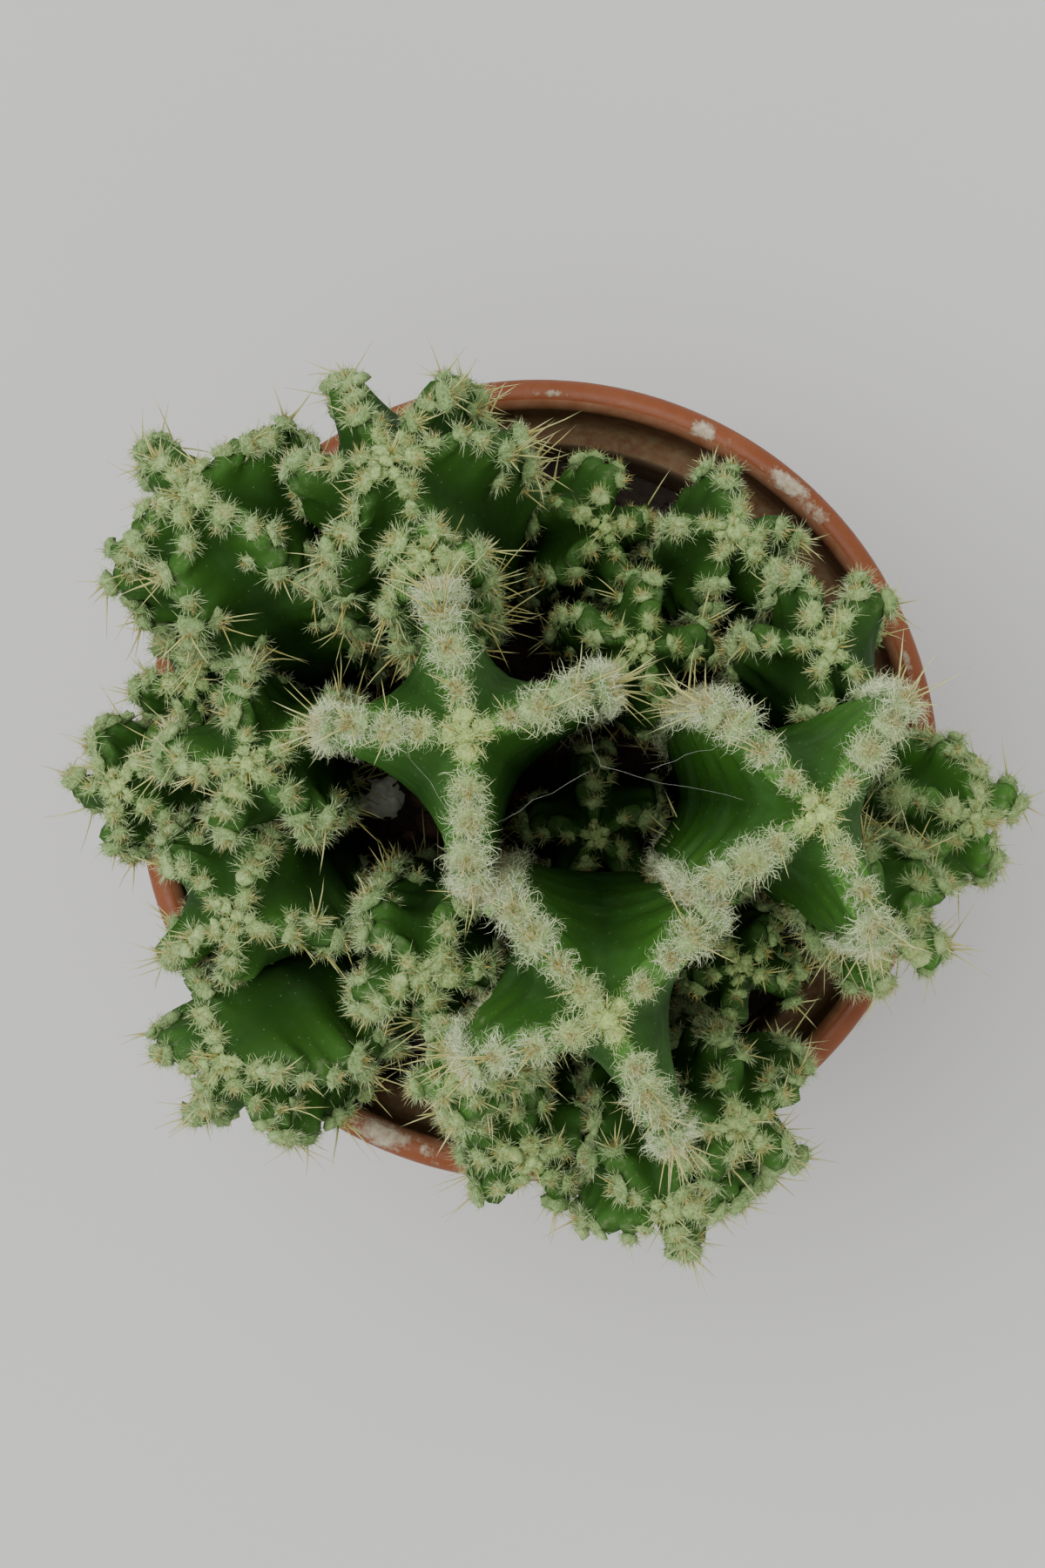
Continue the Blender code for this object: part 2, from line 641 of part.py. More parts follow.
def main():
    for item in list(bpy.data.objects):
        bpy.data.objects.remove(item)
    parts = new_collection("potted_cactus")
    cutters = new_collection("cutters")
    joins = new_collection("joins")
    make_pot(parts, cutters)
    make_soil(parts, cutters)
    make_lumps(parts)
    make_stems(parts, joins)


main()
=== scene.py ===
"""The looks of a fairy castle cactus in a small plastic pot.

The stems follow the same rule as the solids, with their areoles at real spacing, and
get their wool, spines and skin. The pot gets its rounded lip and its mineral stains,
and the soil its crumbs.
"""
import json
import math
from collections import namedtuple

import bmesh
import bpy
import numpy as np
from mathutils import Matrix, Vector

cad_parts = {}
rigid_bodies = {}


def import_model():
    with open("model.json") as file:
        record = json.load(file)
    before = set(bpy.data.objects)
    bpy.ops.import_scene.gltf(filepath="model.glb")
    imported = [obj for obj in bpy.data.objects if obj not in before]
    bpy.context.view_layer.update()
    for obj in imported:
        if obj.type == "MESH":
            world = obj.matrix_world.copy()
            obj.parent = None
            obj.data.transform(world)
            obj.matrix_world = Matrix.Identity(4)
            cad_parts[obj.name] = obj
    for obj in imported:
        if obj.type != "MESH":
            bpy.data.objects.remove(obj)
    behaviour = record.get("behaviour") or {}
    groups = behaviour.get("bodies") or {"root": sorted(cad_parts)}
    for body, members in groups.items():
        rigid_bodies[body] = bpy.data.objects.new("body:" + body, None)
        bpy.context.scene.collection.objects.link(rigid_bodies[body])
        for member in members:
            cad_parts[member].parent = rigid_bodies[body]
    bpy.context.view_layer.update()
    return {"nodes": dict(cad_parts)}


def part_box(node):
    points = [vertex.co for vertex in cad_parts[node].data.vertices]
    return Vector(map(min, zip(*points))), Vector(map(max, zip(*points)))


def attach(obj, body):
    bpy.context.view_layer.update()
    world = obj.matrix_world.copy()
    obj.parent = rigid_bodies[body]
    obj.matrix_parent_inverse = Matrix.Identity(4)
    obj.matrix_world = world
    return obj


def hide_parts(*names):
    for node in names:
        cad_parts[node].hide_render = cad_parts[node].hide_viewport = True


MM = 0.001
TURN = 2 * math.pi
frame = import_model()

# Camera, over the pot as in the photograph, the soft key light, the sky and the floor. Here and
# below, colours are linear, and a row of pairs is a ramp: places from 0 to 1 and their colours.
CAMERA_PLACE = (-1.6 * MM, -0.35 * MM, 480 * MM)
IMAGE_HEIGHT = 1800
FOCAL_PIXELS = 4735.5
KEY_ENERGY = 3.4
KEY_SOFTNESS = 50
KEY_LINE = (0.30, -0.10, -0.95)
SKY = (1.0, 1.0, 0.95, 1)
FLOOR_HALF = 8.0
FLOOR_GREYS = ((0.3, (0.42, 0.42, 0.42)), (0.7, (0.44, 0.44, 0.44)))

# Silk threads: two ends over the rim and the sag between them, in mm
SILK_KNOT = (5.1, 1.2, 55)
SILK = (
    ((-6.1, -5.0, 56), SILK_KNOT, 0.6),
    (SILK_KNOT, (19.8, -2.3, 51), 0.8),
    (SILK_KNOT, (3.0, 7.4, 57), 0.3),
    ((9.5, 0.9, 54.1), (17.5, 3.9, 57), 1.3),
    ((-13.0, 4.3, 57), (-6.2, -5.0, 55), 1.0),
)
SILK_KNOTS = 9
SILK_RADIUS = 0.009 * MM
SILK_SEED = 11
SILK_GREYS = ((0.3, (0.30, 0.30, 0.27)), (0.7, (0.55, 0.55, 0.50)))

# Pot, with the height of the ledge under its collar
POT_HEIGHT = 70 * MM
RIM_RADIUS = 40 * MM
RIM_WIDTH = 3 * MM
COLLAR_HEIGHT = 12 * MM
COLLAR_FOOT_RADIUS = 38.7 * MM
BODY_TOP_RADIUS = 36.4 * MM
BASE_RADIUS = 28 * MM
WALL = 2 * MM
LEDGE = POT_HEIGHT - COLLAR_HEIGHT + WALL / 2
FLOOR = 2.2 * MM
STEP_FALL = 0.4 * MM
STEP_FILLET = 0.6 * MM
LIP_DEPTH = 3.6 * MM
LIP_INSET = 0.3 * MM
LIP_OVERHANG = 0.5 * MM
FOOT_CHAMFER = 1 * MM
POT_STEPS = 160
MERGE_GAP = 0.02 * MM
SHARP_ANGLE = 50
DRAIN_HOLES = 6
DRAIN_SIDES = 32
DRAIN_RADIUS = 3 * MM
DRAIN_CIRCLE = 16 * MM
CLAY = ((0.3, (0.138, 0.036, 0.011)), (0.7, (0.184, 0.055, 0.020)))
DUST = (0.17, 0.085, 0.046)
SCUFFS = (0.24, 0.11, 0.060)
GRIME = ((0.35, (0.150, 0.060, 0.030)), (0.7, (0.250, 0.150, 0.092)))
WALL_GRIME = (0.16, 0.120, 0.080)
TIDE_MARK = (0.22, 0.165, 0.090)
CHALK = ((0.3, (0.26, 0.22, 0.15)), (0.7, (0.44, 0.40, 0.31)))

# Mineral stains on the lip and the collar: direction in degrees, height over the rim, half
# widths round the rim and across it in mm, and strength
STAINS = (
    (65, 0, 2.4, 1.6, 1.0), (60, -0.5, 1.6, 1.2, 0.8), (50, 0, 4.6, 1.7, 1.0), (44, -0.5, 2.6, 1.5, 0.9),
    (-114, 0, 4.6, 2.4, 1.0), (-107, -0.5, 2.6, 1.5, 0.8), (88, 0, 4.0, 0.7, 0.55), (74, -1, 2.0, 0.8, 0.6),
    (18, 0, 2.2, 0.9, 0.6), (-62, -3, 3.5, 1.3, 0.8), (-150, -1, 2.6, 1.0, 0.7),
)

# Soil: its level, the sheet over it, in rings and corners, and what lies on it
SOIL_TOP = 52 * MM
SOIL_SEED = 7
SOIL_GRID = (64, 180)
SOIL_LIFT = 0.6 * MM
SOIL_ROUGH = 0.55 * MM
SOIL_SUNK = 1.0 * MM
PEAT = ((0.3, (0.006, 0.004, 0.003)), (0.6, (0.030, 0.019, 0.012)), (0.8, (0.085, 0.056, 0.034)))
PEAT_FIBRES = (0.050, 0.032, 0.020)
PERLITE = ((0.3, (0.36, 0.38, 0.27)), (0.65, (0.60, 0.62, 0.49)))
BARK = ((0.3, (0.030, 0.015, 0.009)), (0.7, (0.150, 0.080, 0.045)))

# Stems: their lines and their room
PATH_SAMPLES = 60
STEM_SEED = 100
ROOT_DEPTH = 9 * MM
SUNK_FOOT = 3 * MM
ELBOW_SHARE = 0.45
CROWD_GAP = 1.1 * MM
LIP_GUARD = 4.2 * MM
DRAW_IN_STEPS = 10
SOFTENINGS = 3
SLOPE_STEP = 0.2 * MM

# Skin: its rings, which lie further apart lower down, its crests, knobs and flanks
FIRST_RING = 0.5 * MM
RING_DEPTHS = (10 * MM, 35 * MM, 60 * MM)
RING_STEPS = (0.66 * MM, 1.1 * MM, 2.0 * MM)
CREST_SHARE = 0.36
FOOT_ROUNDNESS = 0.97
VALLEY_SAG = 2.4 * MM
TIP_HEIGHT = 0.4 * MM
ROUND_FOOT = 9 * MM
KNOB_REACH = 0.30
KNOB_LIMIT = 1.1
KNOB_FADE = 0.3
WAVER_LENGTH = (5 * MM, 9 * MM)
WAVER_START = 4 * MM
FLANK_SHARES = (0.15, 0.42, 0.74)
FLANK_HOLLOW = 0.07
# Crest tones: 1 on a crest, less on its edges and flanks, 0 in a valley. The skin's colour follows them, so
# the valleys are darkened as painted shade.
EDGE_TONE = 0.9
FLANK_TONE = 0.85
DULL_TIP = 3 * MM
FRESH_SKIN = 14 * MM
BAND_GAP = 0.005
# Skin greens from valley to crest: the dark valley end is painted shade, and the paler crest end is partly
# the skin's own colour.
SKIN_GREENS_AND_VALLEY_SHADE = ((0.0, (0.008, 0.036, 0.0035)), (0.5, (0.0255, 0.090, 0.0095)), (1.0, (0.048, 0.128, 0.022)))
SKIN_BLOOM = (0.062, 0.135, 0.048)
SKIN_NEW = (0.064, 0.160, 0.030)
SKIN_DOTS = (0.20, 0.29, 0.15)
SKIN_FELT = (0.17, 0.22, 0.11)
# Each stem's own skin tone, drawn at random within a range. The young stems, low among the tall ones, get a
# darker range as painted shade.
OLD_TONES = (0.8, 1.0)
YOUNG_SHADED_TONES = (0.0, 0.35)

# Areoles and their wool
PLAIN_FOOT = 4 * MM
PLAIN_TIP = 3.5 * MM
SMALLEST = 0.3
FRESH_DEPTH = 3.2 * MM
PAD_SIDES = 7
PAD_LEVELS = (-12, 24, 58)
PAD_SPREAD = 0.5
THINNING = 24 * MM
HIDDEN_WOOL = 0.3
FIBRE_WIDTH = 0.06 * MM
TUFT_WIDTH = 2.4 * FIBRE_WIDTH
TUFT_LENGTH = (0.6, 1.35)
WOOL_SHADES = (
    (0.0, (0.19, 0.310, 0.11)), (0.33, (0.31, 0.450, 0.185)), (0.5, (0.63, 0.78, 0.44)),
    (1.0, (0.92, 1.0, 0.71)),
)
WOOL_TAN = (0.51, 0.34, 0.105)
WOOL_NEW = (0.53, 0.70, 0.19)
WOOL_PATCHES = (0.47, 0.57, 0.27)

# Spines: radii in mm from foot to tip, tilts in degrees, and the gaps that they keep
SPINE_SIDES = 4
SPINE_RADII = (0.095, 0.078, 0.05)
SPINE_TILT = (12, 68)
SPINE_BEND = 0.10
SPINE_SUNK = 0.4 * MM
LONG_SPINES = 12 * MM
FIBRES_PER_SPINE = 40
CROWN_SPINE = (1.6, 3.2)
POT_GAP = 0.4 * MM
SOIL_GAP = 1 * MM
STEM_GAP = 0.3 * MM
STRAW = ((0.0, (0.23, 0.20, 0.050)), (0.3, (0.38, 0.38, 0.13)), (1.0, (0.55, 0.58, 0.30)))
AMBER = ((0.0, (0.18, 0.12, 0.020)), (0.5, (0.35, 0.31, 0.080)), (1.0, (0.48, 0.46, 0.18)))

# How a stem's ribs are cut, as in the solids, and how it is dressed: the areoles' first place
# and spacing, how small they start, their knobs, the crest's half width and how far it wavers,
# the wool pads' half lengths and height, the wool's fibres, their length, points and shades, the
# tan tuft's fibres, the share of areoles with a smaller one beside them, and the share with
# spines, their number, their length and how far down they are in full, then the crown's fibres
# and half width, and how yellow the newest wool is.
Habit = namedtuple("Habit", "drop cleft filled fill_depth rise first pitch small knob crest waver pad "
                            "fibres fibre knots shades tuft beside spiny spines spine spined_from "
                            "crown_fibres crown fresh")
YOUNG = Habit(
    drop=0.75, cleft=0.42, filled=(0.80,), fill_depth=9 * MM, rise=0.60,
    first=2.1 * MM, pitch=2.3 * MM, small=0.9, knob=0.55 * MM, crest=1.05 * MM, waver=0.8 * MM,
    pad=(1.15 * MM, 1.1 * MM, 0.85 * MM), fibres=160, fibre=1.2 * MM, knots=2, shades=(0.20, 0.68),
    tuft=6, beside=0.25, spiny=0.6, spines=(2, 7), spine=(2.4 * MM, 6.2 * MM), spined_from=5 * MM,
    crown_fibres=420, crown=1.25 * MM, fresh=0.35,
)
BARER = YOUNG._replace(pitch=2.8 * MM, beside=0.12, spiny=0.35, spine=(2.0 * MM, 4.8 * MM))
# Stems low in the pot: smaller pads and fewer fibres, with their wool darkened as painted shade.
LOW = YOUNG._replace(
    pad=(0.95 * MM, 0.9 * MM, 0.7 * MM), fibres=90, fibre=1.0 * MM, shades=(0.05, 0.42), spiny=0.4,
    crown_fibres=200, crown=1.0 * MM,
)
GROWN = YOUNG._replace(
    drop=0.42, cleft=0.20, filled=(0.62,), fill_depth=11 * MM, rise=0.62,
    first=3.2 * MM, pitch=3.0 * MM, small=0.62, knob=0.3 * MM, crest=1.3 * MM, waver=0.3 * MM,
    pad=(1.6 * MM, 1.4 * MM, 0.75 * MM), fibres=380, fibre=1.5 * MM, knots=4, shades=(0.46, 1.0),
    tuft=26, beside=0.0, spiny=0.95, spines=(2, 8), spine=(3.0 * MM, 7.4 * MM), spined_from=13 * MM,
    crown_fibres=620, crown=1.6 * MM, fresh=1.0,
)
LEFT = GROWN._replace(filled=(0.60, 0.76, 0.62, 0.42))
RIGHT = GROWN._replace(filled=(0.60, 0.60, 0.54, 0.62))
FRONT = GROWN._replace(filled=(0.72, 0.66, 0.50, 0.62))

# Stems and buds: places in mm, a stem's foot on the soil and all others over the rim, radii in
# mm, and the ribs' directions in degrees
Stem = namedtuple("Stem", "name foot tip radius foot_radius ribs habit")
Bud = namedtuple("Bud", "parent start elbow tip radius foot_radius ribs")

# What the areoles need to know of a skin, and the areoles of one shoot
Skin = namedtuple("Skin", "points share distances normals downs")
Areoles = namedtuple("Areoles", "place normal down depth size")


def even_ribs(count, turn):
    """Directions of evenly spaced ribs, in degrees."""
    return tuple(turn + 360 * i / count for i in range(count))


STEMS = (
    Stem("stem_tall_left", (-6, 3), (-6.3, 3.8, 60), 12.0, 6.0, (21, 102, 175, 271), LEFT),
    Stem("stem_tall_right", (19, -2.5), (23.9, -2.9, 60), 12.0, 6.0, (52, 133, 213, 297), RIGHT),
    Stem("stem_tall_front", (4.5, -15.5), (5.6, -20.3, 60), 12.2, 6.0, (44, 132, 201, 298), FRONT),
    Stem("stem_rear_left", (-9.5, 20), (-13.7, 28.4, 41), 11.5, 5.2, (22, 62, 118, 178, 238, 302), YOUNG),
    Stem("stem_corner_left", (-20.5, 14.5), (-32.3, 26.4, 32), 11.2, 5.0, (50, 135, 205, 262, 328), YOUNG),
    Stem("stem_left", (-24, 3), (-26.5, 1.4, 36), 8.5, 5.0, even_ribs(5, 30), YOUNG),
    Stem("stem_left_low", (-24.5, -8), (-28, -12.5, 27), 10.5, 4.8, (72, 145, 215, 262, 342), YOUNG),
    Stem("stem_front_left", (-18.5, -18.5), (-29.5, -26.2, 22), 10.7, 4.8, (120, 186, 233, 290, 350), YOUNG),
    Stem("stem_inner_left", (-8, -12.5), (-10.5, -17.8, 34), 7.5, 4.6, even_ribs(5, 65), YOUNG),
    Stem("stem_front", (-2.5, -26.5), (-0.8, -35.8, 20), 7.5, 4.6, even_ribs(5, 20), YOUNG),
    Stem("stem_front_right", (10.5, -25), (12.0, -40.3, 23), 9.3, 4.8, even_ribs(5, 0), YOUNG),
    Stem("stem_between", (16.5, -14.5), (18.7, -17.4, 25), 6.5, 4.4, even_ribs(5, 50), LOW),
    Stem("stem_right_rear", (26, 7.5), (26.6, 12.3, 32), 7.9, 4.6, (53, 110, 170, 262, 311), BARER),
    Stem("stem_rear_right", (14, 20), (18.4, 23.3, 18), 7.4, 4.8, (15, 88, 167, 250, 318), BARER),
    Stem("stem_rear", (1.5, 23.5), (6.3, 24.2, 14), 7.0, 4.4, even_ribs(5, 10), LOW),
    Stem("stem_inner_rear", (7.5, 11), (9.3, 12.2, 28), 7.0, 4.4, even_ribs(5, 80), LOW),
    Stem("stem_inner", (6, -4), (5.5, -5.4, 8), 7.5, 4.6, even_ribs(5, 25), LOW),
)

BUDS = (
    Bud("stem_tall_left", (-8, 9, 26), (-9.5, 18, 34), (-10.2, 19.5, 48), 4.6, 3.4, even_ribs(5, 10)),
    Bud("stem_tall_right", (22, -2, -4), (34, -2.5, 4), (40.8, -3.6, 22), 6.7, 4.3, even_ribs(5, 15)),
    Bud("stem_tall_right", (24, -5, 14), (31, -11, 20), (31.4, -13.7, 38), 6.0, 4.0, even_ribs(5, 40)),
    Bud("stem_tall_right", (18.5, -6, 8), (14, -11, 14), (14, -11.4, 32), 4.6, 3.4, even_ribs(5, 20)),
    Bud("stem_tall_front", (2, -20, 22), (-5.5, -24, 26), (-6.6, -26.4, 42), 4.6, 3.4, even_ribs(5, 60)),
    Bud("stem_left", (-25, 2, -4), (-34, 0, 2), (-39.8, -0.6, 20), 6.2, 4.0, (55, 125, 187, 250, 320)),
    Bud("stem_left", (-25, 3, -2), (-32, 8, 2), (-33, 9.6, 18), 5.6, 3.6, even_ribs(5, 45)),
    Bud("stem_front_right", (11.5, -27.5, 2), (16.5, -28, 9), (18.6, -31.8, 28), 7.5, 4.2, even_ribs(5, 30)),
)


def unit(vectors):
    """Vectors scaled to length 1."""
    return vectors / np.maximum(np.linalg.norm(vectors, axis=-1, keepdims=True), 1e-12)


def smooth(value):
    """A soft step from 0 to 1."""
    value = np.clip(value, 0, 1)
    return value * value * (3 - 2 * value)


def above_rim(point):
    """A point in mm with its height above the rim, as an array in metres."""
    return np.array(point, dtype=float) * MM + np.array((0, 0, POT_HEIGHT))


def inner_radius(height):
    """The pot's inner radius below the ledge, at a height."""
    return BASE_RADIUS - WALL + (BODY_TOP_RADIUS - BASE_RADIUS) * height / LEDGE


def clears_pot(points, gap):
    """Whether points are inside the pot's wall, or over its lip and clear of it."""
    across = np.hypot(points[..., 0], points[..., 1])
    height = points[..., 2]
    lip = RIM_WIDTH / 2
    off_lip = np.hypot(across - RIM_RADIUS + lip, height - POT_HEIGHT + lip) >= LIP_GUARD
    below_ledge = height < POT_HEIGHT - COLLAR_HEIGHT + WALL
    limit = np.where(below_ledge, inner_radius(height), RIM_RADIUS - RIM_WIDTH)
    return off_lip & ((height > POT_HEIGHT) | (across < limit - gap))


class Shoot:
    """The centre line and the ribbed skin of one stem or bud, as in the solids."""

    def __init__(self, centres, spring, radius, foot_radius, ribs, habit):
        self.centres = centres
        self.spring = spring
        self.radius = radius * MM
        self.foot_share = foot_radius / radius
        self.habit = habit
        self.ribs = np.radians(sorted(ribs))
        self.filled = np.resize(habit.filled, len(ribs))
        spans = np.diff(np.append(self.ribs, self.ribs[0] + TURN))
        self.valleys = self.ribs + spans / 2
        self.half_span = spans.min() / 2
        steps = np.linalg.norm(np.diff(centres, axis=0), axis=1)
        self.reach = np.concatenate(([0], np.cumsum(steps)))
        self.length = self.reach[-1]
        self.tangents = unit(np.gradient(centres, self.reach, axis=0))
        sweep = np.linspace(0, math.pi / 2, PATH_SAMPLES)
        drop = habit.drop * self.radius
        self.crown = np.stack((self.radius * np.sin(sweep), drop * (1 - np.cos(sweep))), axis=1)
        arcs = np.linalg.norm(np.diff(self.crown, axis=0), axis=1)
        self.crown_reach = np.concatenate(([0], np.cumsum(arcs)))
        self.girth = self.radius * self.swell(self.reach)
        self.neighbours = []

    def frames(self, along):
        """The centre line's points and their axes at distances from the foot."""
        along = np.asarray(along, dtype=float)
        point = np.stack([np.interp(along, self.reach, self.centres[:, i]) for i in range(3)], -1)
        up = unit(np.stack([np.interp(along, self.reach, self.tangents[:, i]) for i in range(3)], -1))
        point = point + up * np.maximum(along - self.length, 0)[..., None]
        turn = np.stack((-up[..., 1], up[..., 0], np.zeros_like(along)), -1)
        axes = []
        for axis in np.eye(3)[:2]:
            swung = np.cross(turn, axis)
            axes.append(axis + swung + np.cross(turn, swung) / (1 + up[..., 2:]))
        return point, axes[0], axes[1], up

    def crest(self, distance):
        """Radius and drop of a rib's crest at distances along it from the tip."""
        radius = np.interp(distance, self.crown_reach, self.crown[:, 0])
        drop = np.interp(distance, self.crown_reach, self.crown[:, 1])
        return radius, drop + np.maximum(distance - self.crown_reach[-1], 0)

    def crest_slope(self, distance):
        """How fast a crest's radius and drop grow along it."""
        radius, drop = self.crest(distance)
        radius_next, drop_next = self.crest(distance + SLOPE_STEP)
        return (radius_next - radius) / SLOPE_STEP, (drop_next - drop) / SLOPE_STEP

    def swell(self, along):
        """The share of the full radius at distances from the foot."""
        rise = smooth((along - self.spring) / (self.habit.rise * (self.length - self.spring)))
        return self.foot_share + (1 - self.foot_share) * rise

    def place(self, across, along):
        """Points at places across the centre line, drawn in where they are crowded, and how far."""
        centre, side, front, _ = self.frames(along)
        offset = across[..., :1] * side + across[..., 1:] * front
        girth = self.radius * self.swell(along)
        fullness = np.linalg.norm(offset, axis=-1) / girth
        share = self.free_share(centre.reshape(-1, 3), offset.reshape(-1, 3), fullness.ravel())
        share = share.reshape(fullness.shape)
        for _ in range(SOFTENINGS):
            share[1:-1] = (share[:-2] + 2 * share[1:-1] + share[2:]) / 4
        return centre + offset * share[..., None], share

    def free_share(self, centre, offset, fullness):
        """How far each point can stand out before it meets the pot or a neighbour."""
        share = np.ones(len(offset))
        tight = np.flatnonzero(~self.is_free(centre + offset, fullness))
        low = np.zeros(len(tight))
        high = np.ones(len(tight))
        for _ in range(DRAW_IN_STEPS):
            middle = (low + high) / 2
            free = self.is_free(centre[tight] + offset[tight] * middle[:, None], fullness[tight] * middle)
            low = np.where(free, middle, low)
            high = np.where(free, high, middle)
        share[tight] = low
        return share

    def is_free(self, points, fullness):
        """Whether points keep clear of the pot, and of the neighbours at the same fullness."""
        free = clears_pot(points, CROWD_GAP)
        for other in self.neighbours:
            apart = np.linalg.norm(points[:, None] - other.centres, axis=-1)
            free &= (apart - fullness[:, None] * other.girth).min(axis=1) >= CROWD_GAP
        return free

    def areole_rows(self, rng):
        """Distances of the areoles from the tip along each rib."""
        rows = []
        for _ in self.ribs:
            distance = self.habit.first * rng.uniform(0.8, 1.25)
            pitch = self.habit.pitch
            row = []
            while self.length - self.crest(distance)[1] > self.spring + PLAIN_FOOT:
                row.append(distance)
                distance += pitch * rng.uniform(0.92, 1.08)
                pitch = min(pitch * 1.015, 1.2 * self.habit.pitch)
            rows.append(np.array(row))
        return rows


def curve_points(start, elbow, tip):
    """Points along a quadratic curve."""
    t = np.linspace(0, 1, PATH_SAMPLES)[:, None]
    return (1 - t) ** 2 * start + 2 * (1 - t) * t * elbow + t ** 2 * tip


def stem_shoot(stem):
    """A stem that stands upright in the soil and then leans to its tip."""
    tip = above_rim(stem.tip)
    ground = np.array((stem.foot[0] * MM, stem.foot[1] * MM, SOIL_TOP))
    elbow = ground + np.array((0, 0, ELBOW_SHARE * (tip[2] - SOIL_TOP)))
    root = ground - np.array((0, 0, ROOT_DEPTH))
    centres = np.vstack((root, curve_points(ground, elbow, tip)))
    return Shoot(centres, ROOT_DEPTH, stem.radius, stem.foot_radius, stem.ribs, stem.habit)


def bud_shoot(bud):
    """A bud that grows out of a stem's side and turns up."""
    centres = curve_points(above_rim(bud.start), above_rim(bud.elbow), above_rim(bud.tip))
    return Shoot(centres, 0.0, bud.radius, bud.foot_radius, bud.ribs, YOUNG)


def is_near(shoot, other):
    """Whether two shoots come close enough to press on each other."""
    apart = np.linalg.norm(shoot.centres[:, None] - other.centres, axis=-1).min()
    return apart < shoot.radius + other.radius + 3 * CROWD_GAP


def node_shoots():
    """The shoots of each stem's node, the stem itself first."""
    shoots = {stem.name: [stem_shoot(stem)] for stem in STEMS}
    for bud in BUDS:
        shoots[bud.parent].append(bud_shoot(bud))
    for name, group in shoots.items():
        others = [each for other, rest in shoots.items() if other != name for each in rest]
        for shoot in group:
            shoot.neighbours = [other for other in others if is_near(shoot, other)]
    return shoots


class Build:
    """Points, faces, UVs and tones gathered for one mesh."""

    def __init__(self):
        self.points = []
        self.faces = []
        self.uvs = []
        self.tones = []
        self.count = 0

    def add(self, points, faces, uvs, tones):
        """Add points with their tones, lists of faces, one size in each, and their corners' UVs."""
        self.points.append(points)
        self.tones.append(tones)
        for face, uv in zip(faces, uvs):
            self.faces.append(face + self.count)
            self.uvs.append(uv.reshape(-1, 2))
        self.count += len(points)

    def add_plain(self, points, faces, uvs, tones):
        """The same with a UV for each point."""
        self.add(points, faces, [uvs[face] for face in faces], tones)

    def finish(self, name, material):
        """The piece as an object of the scene."""
        mesh = bpy.data.meshes.new(name)
        corners = np.concatenate([face.ravel() for face in self.faces])
        sizes = np.concatenate([np.full(len(face), face.shape[1]) for face in self.faces])
        mesh.vertices.add(self.count)
        mesh.vertices.foreach_set("co", np.concatenate(self.points).ravel())
        mesh.loops.add(len(corners))
        mesh.loops.foreach_set("vertex_index", corners)
        mesh.polygons.add(len(sizes))
        mesh.polygons.foreach_set("loop_start", np.concatenate(([0], np.cumsum(sizes)[:-1])))
        mesh.update(calc_edges=True)
        layer = mesh.uv_layers.new(name="OFBake")
        layer.uv.foreach_set("vector", np.concatenate(self.uvs).ravel())
        tone = mesh.color_attributes.new("tone", "FLOAT_COLOR", "POINT")
        tones = np.concatenate(self.tones)
        tone.data.foreach_set("color", np.column_stack((tones, np.ones(len(tones)))).ravel())
        mesh.shade_smooth()
        mesh.materials.append(material)
        return added(name, mesh)


def added(name, data):
    """A new object in the scene."""
    item = bpy.data.objects.new(name, data)
    bpy.context.scene.collection.objects.link(item)
    return item


def spaced_angles(count):
    """Evenly spaced angles of a full turn."""
    return np.arange(count) / count * TURN


def ring_quads(rings, corners, flip=False):
    """Quads between rings of points, each ring with the next; flipped where the rings go up."""
    ring = np.arange(rings - 1)[:, None] * corners
    corner = np.arange(corners)[None]
    following = (corner + 1) % corners
    lower = ring + corners
    quads = np.stack((ring + corner, lower + corner, lower + following, ring + following), -1)
    return quads.reshape(-1, 4)[:, (0, 3, 2, 1) if flip else (0, 1, 2, 3)]


def fan(middle, start, corners, flip=False):
    """Triangles between a middle point and the ring that starts at a point."""
    ring = start + np.arange(corners)
    following = start + (np.arange(corners) + 1) % corners
    sides = (following, ring) if flip else (ring, following)
    return np.stack((np.full(corners, middle), *sides), -1)


def ring_distances(shoot):
    """Distances of the skin's rings from the tip: close at the top, wider lower down."""
    end = shoot.crown_reach[-1] + shoot.length - shoot.crown[-1, 1]
    if shoot.spring:
        end -= shoot.spring - SUNK_FOOT
    distances = [FIRST_RING]
    while distances[-1] < end:
        distances.append(distances[-1] + np.interp(distances[-1], RING_DEPTHS, RING_STEPS))
    return np.array(distances[:-1] + [end])


def knob_swell(shoot, rows, distances):
    """How far each ring stands on a knob, from 0 between areoles to 1 on one, for each rib."""
    reach = KNOB_REACH * shoot.habit.pitch
    swells = [np.exp(-((distances[:, None] - row) / reach) ** 2).sum(axis=1) for row in rows]
    return np.stack(swells, axis=1).clip(0, KNOB_LIMIT)


def softened(values):
    """Values evened a little round each ring."""
    return 0.5 * values + 0.25 * (np.roll(values, 1, axis=1) + np.roll(values, -1, axis=1))


